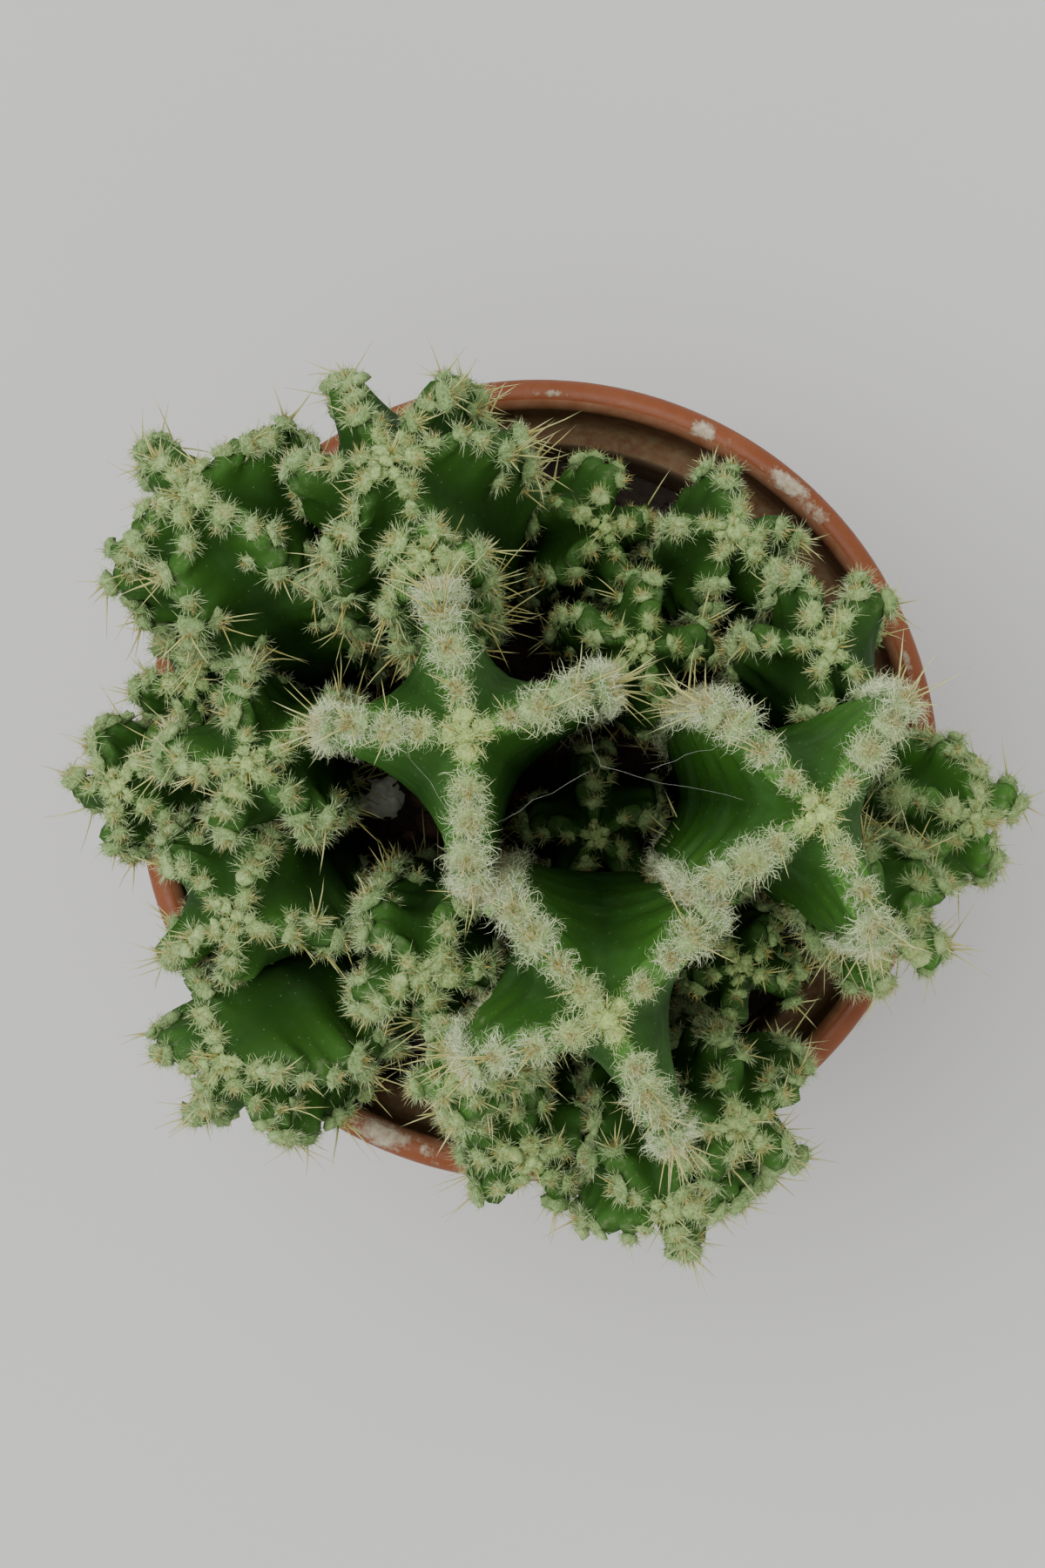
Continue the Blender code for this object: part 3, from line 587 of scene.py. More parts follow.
def skin_sections(shoot, rows, rng):
    """Places across and along the centre line for the skin's points, and how near a crest each is."""
    habit = shoot.habit
    distances = ring_distances(shoot)
    radius, drop = shoot.crest(distances)
    outward, down = shoot.crest_slope(distances)
    along = shoot.length - drop
    radius = radius * shoot.swell(along)
    filling = (1 - np.exp(-drop / habit.fill_depth))[:, None]
    shares = habit.cleft + (shoot.filled - habit.cleft) * filling
    rounding = 1 - smooth((along - shoot.spring) / ROUND_FOOT)
    shares += (FOOT_ROUNDNESS - shares) * rounding[:, None]
    bottom = along - VALLEY_SAG * np.minimum(radius / shoot.radius, 1) * (1 - rounding)
    knob = knob_swell(shoot, rows, distances)
    lift = habit.knob * (2 * knob - 0.9) * (1 - 0.6 * rounding[:, None])
    widest = (CREST_SHARE * radius * shoot.half_span)[:, None]
    half_width = np.minimum(habit.crest * (0.75 + 0.5 * knob), widest)
    half_width += (widest - half_width) * rounding[:, None]
    plain_width = np.minimum(habit.crest, widest)
    wavelength = rng.uniform(*WAVER_LENGTH, len(shoot.ribs))
    wave = np.sin(TURN * (distances[:, None] / wavelength + rng.uniform(0, 1, len(shoot.ribs))))
    steady = (smooth(distances / WAVER_START) * (1 - rounding))[:, None]
    angles = shoot.ribs + habit.waver / shoot.radius * wave * steady
    outer = np.stack((np.cos(angles), np.sin(angles)), -1)
    side = np.stack((-outer[..., 1], outer[..., 0]), -1)
    aside = side * half_width[..., None]
    plain_aside = side * plain_width[..., None]
    crest = (radius[:, None] + lift * down[:, None])[..., None] * outer
    crest_height = along[:, None] + lift * outward[:, None]
    plain = radius[:, None, None] * outer
    columns = []
    for i, valley in enumerate(shoot.valleys):
        floor = (shares[:, i] * radius)[:, None] * np.array((math.cos(valley), math.sin(valley)))
        columns.append((crest[:, i] - aside[:, i], crest_height[:, i], EDGE_TONE))
        columns.append((crest[:, i], crest_height[:, i], 1.0))
        columns.append((crest[:, i] + aside[:, i], crest_height[:, i], EDGE_TONE))
        flanks = []
        for rib, sign in ((i, 1), ((i + 1) % len(shoot.ribs), -1)):
            edge = crest[:, rib] + sign * aside[:, rib]
            start = plain[:, rib] + sign * plain_aside[:, rib]
            flanks.append(flank(edge, crest_height[:, rib], start, along, floor, bottom))
        columns += flanks[0] + [(floor, bottom, 0.0)] + flanks[1][::-1]
    across, height, crestness = [np.stack(part, axis=-1) for part in zip(*columns)]
    return distances, softened(np.moveaxis(across, -1, 1)), softened(height), crestness


def flank(edge, edge_height, plain, plain_height, floor, floor_height):
    """Columns of points from a crest's edge to a valley, a little hollow, the knobs fading out."""
    columns = []
    for share in FLANK_SHARES:
        fade = smooth(share / KNOB_FADE)
        start = edge * (1 - fade) + plain * fade
        start_height = edge_height * (1 - fade) + plain_height * fade
        hollow = 1 - FLANK_HOLLOW * math.sin(math.pi * share)
        dip = smooth(share)
        middle = (start * (1 - share) + floor * share) * hollow
        height = start_height * (1 - dip) + floor_height * dip
        columns.append((middle, height, FLANK_TONE * (1 - share)))
    return columns


def surface(points, share, distances):
    """A skin's points with their outward normals and downward lines."""
    downs = unit(np.gradient(points, axis=0))
    around = np.roll(points, -1, axis=1) - np.roll(points, 1, axis=1)
    return Skin(points, share, distances, unit(np.cross(downs, around)), downs)


def add_skin(build, shoot, rows, tone, band, rng):
    """The closed ribbed skin of one shoot, mapped on its own band of the UV square."""
    distances, across, height, crestness = skin_sections(shoot, rows, rng)
    points, share = shoot.place(across, height)
    rings, corners = share.shape
    tip = shoot.frames(np.array([shoot.length + TIP_HEIGHT]))[0]
    foot = points[-1].mean(axis=0, keepdims=True)
    last = (rings - 1) * corners
    top = rings * corners
    faces = ring_quads(rings, corners), fan(top, 0, corners), fan(top + 1, last, corners, flip=True)
    u = np.linspace(0.02, 0.98, corners + 1)
    v = band[1] - (band[1] - band[0]) * (0.02 + 0.96 * distances / distances[-1])
    left, right = [np.broadcast_to(side, (rings, corners)) for side in (u[:-1], u[1:])]
    level = np.broadcast_to(v[:, None], (rings, corners))
    quad_uv = np.stack((
        left[:-1], level[:-1], left[1:], level[1:], right[1:], level[1:], right[:-1], level[:-1]), -1)
    edge = [np.full(corners, value) for value in (band[1], v[0], v[-1], band[0])]
    crown_uv = np.stack((left[0], edge[0], left[0], edge[1], right[0], edge[1]), -1)
    base_uv = np.stack((left[0], edge[3], right[0], edge[2], left[0], edge[2]), -1)
    tones = np.empty((rings, corners, 3))
    # The crest tone, which also paints shade into the valleys
    tones[..., 0] = crestness * np.clip(distances / DULL_TIP, 0.4, 1)[:, None]
    tones[..., 1] = np.exp(-distances / FRESH_SKIN)[:, None]
    tones[..., 2] = tone
    tones = np.vstack((tones.reshape(-1, 3), ((0.5, 1, tone), (0, 0, tone))))
    build.add(np.vstack((points.reshape(-1, 3), tip, foot)), faces, (quad_uv, crown_uv, base_uv), tones)
    return surface(points, share, distances)


def find_areoles(shoot, rows, skin, rng):
    """The areoles of a shoot, and the smaller ones beside them."""
    habit = shoot.habit
    per_rib = skin.share.shape[1] // len(shoot.ribs)
    found = []
    for rib, row in enumerate(rows):
        crest = per_rib * rib + 1
        step = rng.integers(-1, 2, len(row)) if habit.beside else np.zeros(len(row), dtype=int)
        found.append((row, crest + step, rng.uniform(0.75, 1.3, len(row))))
        extra = row[rng.uniform(0, 1, len(row)) < habit.beside] + 0.5 * habit.pitch
        extra = extra[(extra < skin.distances[-1] - PLAIN_FOOT) & (extra > PLAIN_TIP)]
        side = rng.choice((-3, -2, 2, 3), len(extra))
        found.append((extra, crest + side, rng.uniform(0.55, 0.85, len(extra))))
    depth, corner, size = [np.concatenate(part) for part in zip(*found)]
    ring = np.searchsorted(skin.distances, depth).clip(1, len(skin.distances) - 2)
    corner = corner % skin.share.shape[1]
    size = size * np.clip((skin.share[ring, corner] - 0.5) / 0.35, 0, 1)
    size *= habit.small + (1 - habit.small) * smooth((depth - 3 * MM) / (8 * MM))
    kept = size > SMALLEST
    ring, corner = ring[kept], corner[kept]
    normal = skin.normals[ring, corner]
    down = skin.downs[ring, corner]
    down = unit(down - normal * (down * normal).sum(axis=1, keepdims=True))
    return Areoles(skin.points[ring, corner], normal, down, depth[kept], size[kept])


def pad_axes(shoot, areoles, pick):
    """Half lengths of chosen pads along the rib, across it and outward."""
    half = np.array(shoot.habit.pad)[:, None] * areoles.size[pick]
    half[2] *= 1 - 0.3 * youth(areoles)[pick]
    return half


def doubled(shoot, areoles, rng):
    """The areoles with a second, smaller dome beside each, so that the pads are uneven."""
    count = len(areoles.place)
    shift = rng.uniform(-1, 1, (count, 2)) * PAD_SPREAD * shoot.habit.pad[0] * areoles.size[:, None]
    across = np.cross(areoles.normal, areoles.down)
    beside = areoles.place + 2 * shift[:, :1] * areoles.down + shift[:, 1:] * across
    smaller = areoles.size * rng.uniform(0.6, 0.85, count)
    return Areoles(
        np.vstack((areoles.place, beside)), np.tile(areoles.normal, (2, 1)),
        np.tile(areoles.down, (2, 1)), np.tile(areoles.depth, 2), np.append(areoles.size, smaller))


def add_pads(build, shoot, areoles, rng):
    """Felted wool pads, as lumpy domes sunk in the crests."""
    areoles = doubled(shoot, areoles, rng)
    count = len(areoles.place)
    if not count:
        return
    across = np.cross(areoles.normal, areoles.down)
    length, width, height = pad_axes(shoot, areoles, np.arange(count))[:, :, None, None]
    angles = spaced_angles(PAD_SIDES)
    levels = np.radians(PAD_LEVELS)
    rings = (count, len(levels), PAD_SIDES)
    lobes = rng.integers(2, 5, (count, 1, 1)) * angles + rng.uniform(0, TURN, (count, len(levels), 1))
    lump = 1 + 0.18 * np.sin(lobes) + rng.uniform(-0.10, 0.10, rings)
    ring = np.cos(levels)[None, :, None] * lump
    rise = np.sin(levels)[None, :, None] * lump
    points = (
        areoles.place[:, None, None]
        + areoles.down[:, None, None] * (length * ring * np.cos(angles))[..., None]
        + across[:, None, None] * (width * ring * np.sin(angles))[..., None]
        + areoles.normal[:, None, None] * (height * (rise + 0.12))[..., None]
    )
    height = height[:, 0, 0]
    top = areoles.place + areoles.normal * (height * rng.uniform(0.85, 1.1, count))[:, None]
    under = areoles.place - areoles.normal * (0.5 * height)[:, None]
    points = np.concatenate((points.reshape(count, -1, 3), top[:, None], under[:, None]), axis=1)
    each = points.shape[1]
    faces = (
        ring_quads(len(levels), PAD_SIDES, flip=True),
        fan(each - 2, (len(levels) - 1) * PAD_SIDES, PAD_SIDES),
        fan(each - 1, 0, PAD_SIDES, flip=True),
    )
    outward = np.append(np.repeat(np.sin(levels).clip(0), PAD_SIDES), (1, 0))
    tones = np.empty((count, each, 3))
    tones[..., 1] = rng.uniform(0.0, 0.3, (count, 1))
    tones[:, -2, 1] = rng.uniform(0.1, 0.8, count)
    tones[..., 0] = 0.26 * outward + rng.uniform(0, 0.16, (count, each))
    tones[..., 2] = shoot.habit.fresh * youth(areoles)[:, None]
    add_copies(build, points, faces, tones)


def add_copies(build, points, faces, tones, uvs=None):
    """Many small parts with the same faces; their UVs follow their tones where none are given."""
    starts = (np.arange(len(points)) * points.shape[1])[:, None, None]
    faces = [(part[None] + starts).reshape(-1, part.shape[1]) for part in faces]
    if uvs is None:
        uvs = np.stack((0.1 + 0.8 * tones[..., 0], 0.05 + 0.4 * tones[..., 1] + 0.5 * tones[..., 2]), -1)
    build.add_plain(points.reshape(-1, 3), faces, uvs.reshape(-1, 2), tones.reshape(-1, 3))


def youth(areoles):
    """How far the wool keeps the yellow of new growth."""
    return np.exp(-areoles.depth / FRESH_DEPTH)


def strand_tones(tan, young, along):
    """The tones of strands, from each one's own two and the places along it."""
    tones = np.empty((len(tan), len(along), 3))
    tones[..., 0] = along
    tones[..., 1] = tan[:, None]
    tones[..., 2] = young[:, None]
    return tones


def cross_axes(lines, guides):
    """Two axes square to each line, turned by its guide."""
    helper = np.where(np.abs(guides[..., 2:]) < 0.8, (0.0, 0.0, 1.0), (1.0, 0.0, 0.0))
    one = unit(np.cross(lines, helper))
    return one, np.cross(lines, one)


def add_needles(build, paths, radii, tan):
    """Closed tapered needles along paths; each path's last point is its tip."""
    count, knots, _ = paths.shape
    lines = unit(np.diff(paths, axis=1))
    one, two = cross_axes(lines, lines[:, :1])
    angles = spaced_angles(SPINE_SIDES)[:, None]
    spread = one[:, :, None] * np.cos(angles) + two[:, :, None] * np.sin(angles)
    rings = paths[:, :-1, None] + spread * radii[:, :, None, None]
    points = np.concatenate((rings.reshape(count, -1, 3), paths[:, -1:]), axis=1)
    last = (knots - 2) * SPINE_SIDES
    cap = fan(last + SPINE_SIDES, last, SPINE_SIDES)
    base = np.arange(SPINE_SIDES)[::-1][None]
    along = np.append(np.repeat(np.arange(knots - 1), SPINE_SIDES), knots - 1) / (knots - 1)
    faces = ring_quads(knots - 1, SPINE_SIDES, flip=True), cap, base
    add_copies(build, points, faces, strand_tones(tan, np.zeros(count), along))


def add_fibres(build, paths, width, tan, young, shades, rng):
    """Fine flat fibres of wool along paths, each tapering to its tip, from one shade to another."""
    knots = paths.shape[1]
    lines = unit(paths[:, -1] - paths[:, 0])
    aside = unit(np.cross(lines, rng.normal(0, 1, lines.shape)))[:, None]
    half = width[:, None, None] / 2 * np.linspace(1, 0.5, knots - 1)[None, :, None]
    left = paths[:, :-1] + aside * half
    right = paths[:, :-1] - aside * half
    points = np.concatenate((left, right, paths[:, -1:]), axis=1)
    i = np.arange(knots - 2)
    quads = np.stack((i, i + 1, i + knots, i + knots - 1), -1)
    tip = np.array(((knots - 2, 2 * knots - 2, 2 * knots - 3),))
    along = np.append(np.tile(np.arange(knots - 1), 2), knots - 1) / (knots - 1)
    shade = shades[0] + (shades[1] - shades[0]) * along
    add_copies(build, points, (quads, tip), strand_tones(tan, young, shade))


def curly_paths(root, line, length, knots, curl, rng):
    """Paths that start along a line and wander as wool does."""
    share = np.linspace(0, 1, knots)[None, :, None]
    one, two = [axis[:, None] for axis in cross_axes(line, line)]
    start = rng.uniform(0, TURN, (len(root), 1, 1))
    turns = rng.uniform(2.0, 6.5, (len(root), 1, 1))
    wave = np.sin(start + turns * share) - np.sin(start)
    swing = np.cos(start + turns * share) - np.cos(start)
    strands = line[:, None] * share + curl * (one * wave + two * swing)
    return root[:, None] + length[:, None, None] * strands


def steps(areoles, pick, along, aside, out):
    """Steps from chosen areoles along the rib, across it and outward."""
    down, normal = areoles.down[pick], areoles.normal[pick]
    return down * along[:, None] + np.cross(normal, down) * aside[:, None] + normal * out[:, None]


def pad_surface(shoot, areoles, pick, inner, outer, rng):
    """Random places on the pads of chosen areoles, in a ring of tilts, and the lines straight out."""
    length, width, height = pad_axes(shoot, areoles, pick)
    around = rng.uniform(0, TURN, len(pick))
    tilt = np.arccos(1 - rng.uniform(inner, outer, len(pick)))
    along = np.sin(tilt) * np.cos(around)
    aside = np.sin(tilt) * np.sin(around)
    out = steps(areoles, pick, along, aside, np.cos(tilt))
    height = height * (0.85 * np.cos(tilt) + 0.1)
    step = steps(areoles, pick, 0.9 * length * along, 0.9 * width * aside, height)
    return areoles.place[pick] + step, out


def add_wool(build, shoot, areoles, rng):
    """Curly wool on the pads, long and dense near the tip and short lower down, round a tan tuft."""
    habit = shoot.habit
    shade = 0.3 + 0.7 * np.exp(-(areoles.depth / THINNING) ** 2)
    shade *= np.where(areoles.place[:, 2] > POT_HEIGHT, 1, HIDDEN_WOOL)
    numbers = np.round(habit.fibres * shade * areoles.size).astype(int)
    pick = np.repeat(np.arange(len(numbers)), numbers)
    root, out = pad_surface(shoot, areoles, pick, 0.04, 1.0, rng)
    inward = (out * areoles.normal[pick]).sum(axis=1)
    line = unit(out + rng.normal(0, 0.6, out.shape))
    length = habit.fibre * rng.uniform(0.4, 1.3, len(pick)) * (0.75 + 0.25 * shade[pick])
    length *= np.sqrt(np.minimum(areoles.size[pick], 1))
    paths = curly_paths(root, line, length, habit.knots, 0.36, rng)
    width = FIBRE_WIDTH * rng.uniform(0.7, 1.25, len(pick)) * (1 if habit.knots > 2 else 1.25)
    tan = np.clip(3.0 * inward - 1.75, 0, 1) * rng.uniform(0.3, 1.0, len(pick))
    tan = (tan + rng.uniform(0, 0.2, len(pick))).clip(0, 1)
    young = habit.fresh * youth(areoles)[pick]
    add_fibres(build, paths, width, tan, young, habit.shades, rng)
    pick = np.repeat(np.arange(len(areoles.place)), habit.tuft)
    root, out = pad_surface(shoot, areoles, pick, 0.0, 0.14, rng)
    line = unit(areoles.normal[pick] + rng.normal(0, 0.5, out.shape))
    paths = curly_paths(root, line, rng.uniform(*TUFT_LENGTH, len(pick)) * MM, 3, 0.15, rng)
    width = TUFT_WIDTH * rng.uniform(0.7, 1.25, len(pick))
    tan = rng.uniform(0.55, 1.0, len(pick))
    add_fibres(build, paths, width, tan, np.zeros(len(pick)), habit.shades, rng)


def add_crown(build, spines, shoot, rng):
    """The crown of new wool and short spines at a shoot's tip."""
    habit = shoot.habit
    centre, side, front, up = [part[0] for part in shoot.frames(np.array([shoot.length + TIP_HEIGHT]))]
    spokes = np.cos(shoot.ribs)[:, None] * side + np.sin(shoot.ribs)[:, None] * front
    reach = habit.crown * rng.uniform(0.8, 1.15, len(spokes))[:, None]
    place = np.vstack((centre, centre + spokes * reach - up * (0.25 * reach)))
    normal = np.vstack((up, unit(up + 0.5 * spokes)))
    down = np.vstack((side, unit(spokes - 0.5 * up)))
    size = habit.crown / habit.pad[0] * rng.uniform(0.5, 0.72, len(place))
    buds = Areoles(place, normal, down, np.linalg.norm(place - centre, axis=1) * 0.8, size)
    add_pads(build, shoot, buds, rng)
    number = habit.crown_fibres
    pick = rng.integers(0, len(place), number)
    root, out = pad_surface(shoot, buds, pick, 0.0, 1.0, rng)
    line = unit(out + rng.normal(0, 0.7, out.shape))
    length = rng.uniform(0.35, 0.8, number) * habit.fibre
    paths = curly_paths(root, line, length, habit.knots, 0.32, rng)
    width = 1.1 * FIBRE_WIDTH * rng.uniform(0.7, 1.25, number)
    tan = rng.uniform(0, 0.3, number)
    young = habit.fresh * rng.uniform(0.4, 1.0, number)
    add_fibres(build, paths, width, tan, young, habit.shades, rng)
    number = habit.crown_fibres // FIBRES_PER_SPINE
    around = rng.uniform(0, TURN, number)[:, None]
    radial = np.cos(around) * side + np.sin(around) * front
    line = unit(up + rng.uniform(0.3, 1.2, (number, 1)) * radial)
    root = centre + radial * (0.5 * habit.crown)
    spines.append((root, line, rng.uniform(*CROWN_SPINE, number) * MM))


def spine_lines(shoot, areoles, rng):
    """Roots, lines and lengths of the spines that stand in bundles on the areoles."""
    habit = shoot.habit
    numbers = rng.integers(*habit.spines, len(areoles.place))
    numbers *= rng.uniform(0, 1, len(areoles.place)) < habit.spiny * areoles.size
    older = smooth(areoles.depth / habit.spined_from)
    numbers = np.round(numbers * (0.25 + 0.75 * older)).astype(int)
    pick = np.repeat(np.arange(len(numbers)), numbers)
    root, _ = pad_surface(shoot, areoles, pick, 0.0, 0.05, rng)
    root = root - areoles.normal[pick] * SPINE_SUNK
    around = rng.uniform(0, TURN, len(pick))
    tilt = np.radians(rng.uniform(*SPINE_TILT, len(pick)))
    flat = np.sin(tilt)
    line = steps(areoles, pick, flat * np.cos(around), flat * np.sin(around), np.cos(tilt))
    line = unit(line + 0.25 * areoles.down[pick])
    length = rng.uniform(*habit.spine, len(pick))
    return root, line, length * (0.5 + 0.5 * smooth(areoles.depth[pick] / LONG_SPINES))


def has_room(shoot, points):
    """Whether points are outside the neighbours, the pot and the soil."""
    free = clears_pot(points, POT_GAP) & (points[:, 2] > SOIL_TOP + SOIL_GAP)
    for other in shoot.neighbours:
        space = np.linalg.norm(points[:, None] - other.centres, axis=-1) - other.girth
        free &= space.min(axis=1) > STEM_GAP
    return free


def add_spines(build, shoot, bundles, rng):
    """Thin curved spines, amber at the foot and pale at the tip."""
    root, line, length = [np.concatenate(part) for part in zip(*bundles)]
    reach = root + line * length[:, None]
    free = has_room(shoot, reach) & has_room(shoot, root + line * (0.6 * length)[:, None])
    root, line, length = root[free], line[free], length[free]
    bend = np.cross(line, rng.normal(0, 1, line.shape)) * SPINE_BEND
    share = np.linspace(0, 1, len(SPINE_RADII) + 1)[None, :, None]
    curve = line[:, None] * share + bend[:, None] * share ** 2
    paths = root[:, None] + length[:, None, None] * curve
    radii = np.array(SPINE_RADII) * MM * rng.uniform(0.75, 1.2, (len(root), 1))
    add_needles(build, paths, radii, rng.uniform(0, 1, len(root)))


class Look:
    """A material made of nodes."""

    def __init__(self, name, roughness, gloss=0.5):
        self.material = bpy.data.materials.new(name)
        self.material.use_nodes = True
        self.tree = self.material.node_tree
        self.shader = self.tree.nodes["Principled BSDF"]
        self.shader.inputs["Roughness"].default_value = roughness
        self.shader.inputs["Specular IOR Level"].default_value = gloss
        self.place = self.node("ShaderNodeTexCoord").outputs["Object"]

    def node(self, kind, **settings):
        """A node with its settings."""
        node = self.tree.nodes.new(kind)
        for name, value in settings.items():
            setattr(node, name, value)
        return node

    def link(self, output, target):
        """Feed an output to a socket."""
        self.tree.links.new(output, target)

    def feed(self, socket, value):
        """Give a socket an output, a number or a colour."""
        if isinstance(value, bpy.types.NodeSocket):
            self.link(value, socket)
        elif isinstance(value, tuple):
            socket.default_value = (*value, 1)
        else:
            socket.default_value = value

    def noise(self, size, detail=3.0, roughness=0.6):
        """A noise value with features of a size."""
        node = self.node("ShaderNodeTexNoise")
        node.inputs["Scale"].default_value = 1 / size
        node.inputs["Detail"].default_value = detail
        node.inputs["Roughness"].default_value = roughness
        self.link(self.place, node.inputs["Vector"])
        return node.outputs["Fac"]

    def cells(self, size):
        """A cell pattern's distance value."""
        node = self.node("ShaderNodeTexVoronoi")
        node.inputs["Scale"].default_value = 1 / size
        self.link(self.place, node.inputs["Vector"])
        return node.outputs["Distance"]

    def ramp(self, value, stops):
        """A value turned to a colour by stops of place and colour."""
        node = self.node("ShaderNodeValToRGB")
        elements = node.color_ramp.elements
        while len(elements) < len(stops):
            elements.new(0.5)
        for element, (place, colour) in zip(elements, stops):
            element.position = place
            element.color = (*colour, 1) if isinstance(colour, tuple) else (colour, colour, colour, 1)
        self.link(value, node.inputs["Fac"])
        return node.outputs["Color"]

    def mix(self, factor, one, two, blend="MIX"):
        """Two colours mixed by a value or a number; each may be a socket or a colour."""
        node = self.node("ShaderNodeMix", data_type="RGBA", blend_type=blend)
        for index, value in ((0, factor), (6, one), (7, two)):
            self.feed(node.inputs[index], value)
        return node.outputs[2]

    def maths(self, operation, one, two):
        """Arithmetic on values."""
        node = self.node("ShaderNodeMath", operation=operation)
        for socket, value in zip(node.inputs, (one, two)):
            self.feed(socket, value)
        return node.outputs[0]

    def tones(self):
        """The three tones stored in the mesh."""
        attribute = self.node("ShaderNodeAttribute", attribute_name="tone")
        parts = self.node("ShaderNodeSeparateColor")
        self.link(attribute.outputs["Color"], parts.inputs["Color"])
        return parts.outputs

    def colour(self, output):
        """Feed the base colour."""
        self.link(output, self.shader.inputs["Base Color"])

    def bump(self, value, height):
        """Feed a bump of a height."""
        node = self.node("ShaderNodeBump")
        node.inputs["Distance"].default_value = height
        node.inputs["Strength"].default_value = 1.0
        self.link(value, node.inputs["Height"])
        self.link(node.outputs["Normal"], self.shader.inputs["Normal"])


def skin_look():
    """Green cactus skin: painted shade darkening the valleys, with a pale bloom, fine dots and faint scars.
    """
    look = Look("cactus_skin", 0.5, 0.06)
    crest, height, own = look.tones()[:3]
    # The crest tone turns the green darker towards the valleys: painted shade.
    green = look.ramp(crest, SKIN_GREENS_AND_VALLEY_SHADE)
    patches = look.ramp(look.noise(7 * MM, 4), ((0.46, 0.0), (0.72, 1.0)))
    colour = look.mix(look.maths("MULTIPLY", patches, 0.4), green, SKIN_BLOOM)
    mottle = look.ramp(look.noise(2.6 * MM, 3, 0.5), ((0.3, 0.88), (0.7, 1.10)))
    colour = look.mix(1.0, colour, mottle, "MULTIPLY")
    colour = look.mix(look.maths("MULTIPLY", height, 0.45), colour, SKIN_NEW)
    dots = look.ramp(look.cells(0.8 * MM), ((0.06, 1.0), (0.12, 0.0)))
    colour = look.mix(look.maths("MULTIPLY", dots, 0.6), colour, SKIN_DOTS)
    felt = look.maths("ADD", look.noise(0.9 * MM, 4, 0.7), look.maths("MULTIPLY", crest, 0.32))
    colour = look.mix(look.ramp(felt, ((0.80, 0.0), (0.95, 0.55))), colour, SKIN_FELT)
    # Each stem's own tone scales its colour. The young stems' darker range is painted shade.
    shade = look.maths("ADD", look.maths("MULTIPLY", own, 0.48), 0.54)
    node = look.node("ShaderNodeVectorMath", operation="SCALE")
    look.link(colour, node.inputs[0])
    look.link(shade, node.inputs["Scale"])
    look.colour(node.outputs[0])
    rough = look.ramp(look.noise(2.2 * MM, 3), ((0.3, 0.60), (0.7, 0.80)))
    look.link(rough, look.shader.inputs["Roughness"])
    look.bump(look.noise(0.9 * MM, 3, 0.6), 0.035 * MM)
    return look.material


def wool_look():
    """Greenish cream wool: pale at the fibres' tips, tan in old areoles, yellow-green when new."""
    look = Look("areole_wool", 0.9, 0.12)
    along, tan, young = look.tones()[:3]
    old = look.ramp(tan, ((0.25, 0.0), (0.9, 0.9)))
    colour = look.mix(old, look.ramp(along, WOOL_SHADES), WOOL_TAN)
    colour = look.mix(look.maths("MULTIPLY", young, 0.95), colour, WOOL_NEW)
    speckle = look.ramp(look.noise(0.35 * MM, 3, 0.7), ((0.3, 0.55), (0.7, 1.15)))
    colour = look.mix(1.0, colour, speckle, "MULTIPLY")
    patches = look.ramp(look.noise(5 * MM, 3), ((0.4, 0.0), (0.7, 0.35)))
    look.colour(look.mix(patches, colour, WOOL_PATCHES))
    look.bump(look.noise(0.25 * MM, 3, 0.7), 0.3 * MM)
    return look.material


def spine_look():
    """Spines: amber at the foot, straw along the middle, pale at the tip."""
    look = Look("spine", 0.5, 0.2)
    along, tan, _ = look.tones()[:3]
    amber = look.ramp(tan, ((0.45, 0.0), (0.9, 0.7)))
    colour = look.mix(amber, look.ramp(along, STRAW), look.ramp(along, AMBER))
    grain = look.ramp(look.noise(0.6 * MM, 2), ((0.3, 0.85), (0.7, 1.1)))
    look.colour(look.mix(1.0, colour, grain, "MULTIPLY"))
    return look.material


def make_stems():
    """Every stem: its skin stands for the solid, with the wool and the spines on it."""
    skins = skin_look()
    wools = wool_look()
    needles = spine_look()
    for index, (name, group) in enumerate(node_shoots().items()):
        rng = np.random.default_rng(STEM_SEED + index)
        skin, wool, spines = Build(), Build(), Build()
        tone = rng.uniform(*(OLD_TONES if group[0].habit.knots > 2 else YOUNG_SHADED_TONES))
        for order, shoot in enumerate(group):
            band = (order / len(group) + BAND_GAP, (order + 1) / len(group) - BAND_GAP)
            rows = shoot.areole_rows(rng)
            grid = add_skin(skin, shoot, rows, tone, band, rng)
            areoles = find_areoles(shoot, rows, grid, rng)
            add_pads(wool, shoot, areoles, rng)
            add_wool(wool, shoot, areoles, rng)
            bundles = []
            add_crown(wool, bundles, shoot, rng)
            bundles.append(spine_lines(shoot, areoles, rng))
            add_spines(spines, shoot, bundles, rng)
        kind = name.replace("stem_", "")
        body = skin.finish(f"skin_{kind}", skins)
        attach(body, "root")
        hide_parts(name)
        for build, label, material in ((wool, "wool", wools), (spines, "spines", needles)):
            piece = build.finish(f"{label}_{kind}", material)
            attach(piece, "root")


def arc(centre, radius, start, end, points):
    """Points of an arc in a profile, from one angle to another in degrees."""
    angles = np.radians(np.linspace(start, end, points))
    return [(centre[0] + radius * math.cos(a), centre[1] + radius * math.sin(a)) for a in angles]


